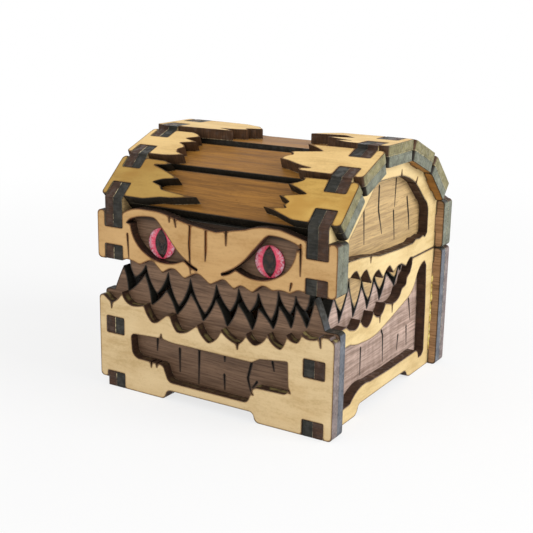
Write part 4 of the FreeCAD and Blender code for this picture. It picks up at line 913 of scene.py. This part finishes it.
class CHEST_OT_stage(bpy.types.Operator):
    """Pale floor, soft lamps, white surroundings and the camera"""
    bl_idname = "chest.stage"
    bl_label = "Studio Stage"

    FLOOR_DROP = 0.02 * MM           # the floor's depth below the chest's feet
    NEAR_GLOW = 0.75                 # share of plain white in the floor near the chest
    GLOW_RING = (90.0, 420.0)        # millimetres over which it goes all white
    LIGHT_FROM_AROUND = 0.62
    LAMPS_AIM = Vector((0.0, 0.0, 0.04))
    LAMPS = (                        # name, place and width in metres, watts
        ("side_lamp", (0.62, 0.10, 0.36), 0.45, 3.4),
        ("front_lamp", (-0.20, -0.80, 0.55), 1.30, 3.2),
    )
    HIDDEN_IN_GLOSS = ("front_lamp",)     # its round face doesn't show in the glass eyes
    CAMERA_PLACE = (0.1588, -0.27325, 0.1189)
    CAMERA_YAW = 31.3138             # degrees, to the left
    CAMERA_PITCH = 14.4799           # degrees, down
    CAMERA_ROLL = 0.9573             # degrees
    CAMERA_LENS = 68.35              # millimetres
    CAMERA_SENSOR = 36.0             # millimetres
    CAMERA_SHIFT = (0.0052, -0.0130)
    CAMERA_REACH = (0.01, 20.0)      # nearest and farthest that it sees, metres

    def execute(self, context):
        scene = context.scene
        self.lay_floor(scene)
        self.light_around(scene)
        for name, place, width, power in self.LAMPS:
            self.hang_lamp(scene, name, Vector(place), width, power)
        self.set_camera(scene)
        scene.view_settings.view_transform = "Standard"
        return {"FINISHED"}

    def seen_directly(self, recipe):
        """1 for rays from the camera, from a mirror and through glass, 0 for light."""
        path = recipe.node("ShaderNodeLightPath").outputs
        seen = Value(recipe, path["Is Camera Ray"])
        for name in ("Is Glossy Ray", "Is Transmission Ray"):
            seen = seen.worked("MAXIMUM", seen, Value(recipe, path[name]))
        return seen

    def lay_floor(self, scene):
        size = scene.chest_sizes.floor_size
        made = bmesh.new()
        bmesh.ops.create_grid(made, x_segments=1, y_segments=1, size=size / 2,
                              matrix=Matrix.Translation((0.0, 0.0, -self.FLOOR_DROP)))
        mesh = bpy.data.meshes.new("studio_floor")
        made.to_mesh(mesh)
        made.free()
        recipe = new_recipe("studio_floor")
        place = recipe.place()
        base = tuple(scene.chest_colours.floor)
        card = recipe.noise(place, (0.01, 0.01, 0.01), detail=2.0)
        shade = recipe.ramp(card, (0.3, scaled(base, 0.98)), (0.7, base))
        matt = recipe.node("ShaderNodeBsdfDiffuse", None, {"Color": shade}).outputs[0]
        glow = recipe.node("ShaderNodeEmission", None, {"Strength": 1.0}).outputs[0]
        away = recipe.dot(place, place) ** 0.5
        share = self.NEAR_GLOW + (1 - self.NEAR_GLOW) * away.rise(*self.GLOW_RING)
        both = recipe.node("ShaderNodeMixShader", None,
                           {0: self.seen_directly(recipe) * share, 1: matt, 2: glow}).outputs[0]
        recipe.node("ShaderNodeOutputMaterial", None, {"Surface": both})
        mesh.materials.append(recipe.owner)
        floor = bpy.data.objects.new("studio_floor", mesh)
        scene.collection.objects.link(floor)

    def light_around(self, scene):
        world = bpy.data.worlds.new("studio_air")
        scene.world = world
        recipe = Recipe(world)
        light, white = (recipe.node("ShaderNodeBackground", None,
                                    {"Color": (1.0, 1.0, 1.0, 1.0), "Strength": power}).outputs[0]
                        for power in (self.LIGHT_FROM_AROUND, 1.0))
        both = recipe.node("ShaderNodeMixShader", None,
                           {0: self.seen_directly(recipe), 1: light, 2: white}).outputs[0]
        recipe.node("ShaderNodeOutputWorld", None, {"Surface": both})

    def hang_lamp(self, scene, name, place, width, power):
        light = bpy.data.lights.new(name, "AREA")
        light.shape = "DISK"
        light.size = width
        light.energy = power
        lamp = bpy.data.objects.new(name, light)
        lamp.location = place
        lamp.visible_glossy = name not in self.HIDDEN_IN_GLOSS
        lamp.rotation_euler = (self.LAMPS_AIM - place).to_track_quat("-Z", "Y").to_euler()
        scene.collection.objects.link(lamp)

    def set_camera(self, scene):
        yaw, pitch, roll = (math.radians(angle) for angle in
                            (self.CAMERA_YAW, self.CAMERA_PITCH, self.CAMERA_ROLL))
        lens = bpy.data.cameras.new("studio_camera")
        lens.sensor_width = self.CAMERA_SENSOR
        lens.lens = self.CAMERA_LENS
        lens.shift_x, lens.shift_y = self.CAMERA_SHIFT
        lens.clip_start, lens.clip_end = self.CAMERA_REACH
        camera = bpy.data.objects.new("studio_camera", lens)
        camera.matrix_world = (Matrix.Translation(self.CAMERA_PLACE)
                               @ Matrix.Rotation(yaw, 4, "Z")
                               @ Matrix.Rotation(QUARTER - pitch, 4, "X")
                               @ Matrix.Rotation(roll, 4, "Z"))
        scene.collection.objects.link(camera)
        scene.camera = camera


class CHEST_PT_builder(bpy.types.Panel):
    """Lists the steps that finish the chest"""
    bl_idname = "CHEST_PT_builder"
    bl_label = "Dice Chest"
    bl_space_type = "VIEW_3D"
    bl_region_type = "UI"
    bl_category = "Chest"

    def draw(self, context):
        column = self.layout.column(align=True)
        for operator in OPERATORS:
            column.operator(operator.bl_idname)
        for group in (context.scene.chest_sizes, context.scene.chest_colours):
            box = self.layout.box()
            for name in group.bl_rna.properties.keys():
                if name not in ("rna_type", "name"):
                    box.prop(group, name)


OPERATORS = (CHEST_OT_inner_panels, CHEST_OT_outer_overlays, CHEST_OT_roof_planks,
             CHEST_OT_roof_plates, CHEST_OT_eyes, CHEST_OT_hinges, CHEST_OT_screws, CHEST_OT_glue,
             CHEST_OT_stage)
CLASSES = (ChestSizes, ChestColours, *OPERATORS, CHEST_PT_builder)


def register():
    for made in CLASSES:
        bpy.utils.register_class(made)
    bpy.types.Scene.chest_sizes = PointerProperty(type=ChestSizes)
    bpy.types.Scene.chest_colours = PointerProperty(type=ChestColours)


def unregister():
    del bpy.types.Scene.chest_colours
    del bpy.types.Scene.chest_sizes
    for made in reversed(CLASSES):
        bpy.utils.unregister_class(made)


def main():
    register()
    for operator in OPERATORS:
        group, name = operator.bl_idname.split(".")
        getattr(getattr(bpy.ops, group), name)()


if __name__ == "__main__":
    main()
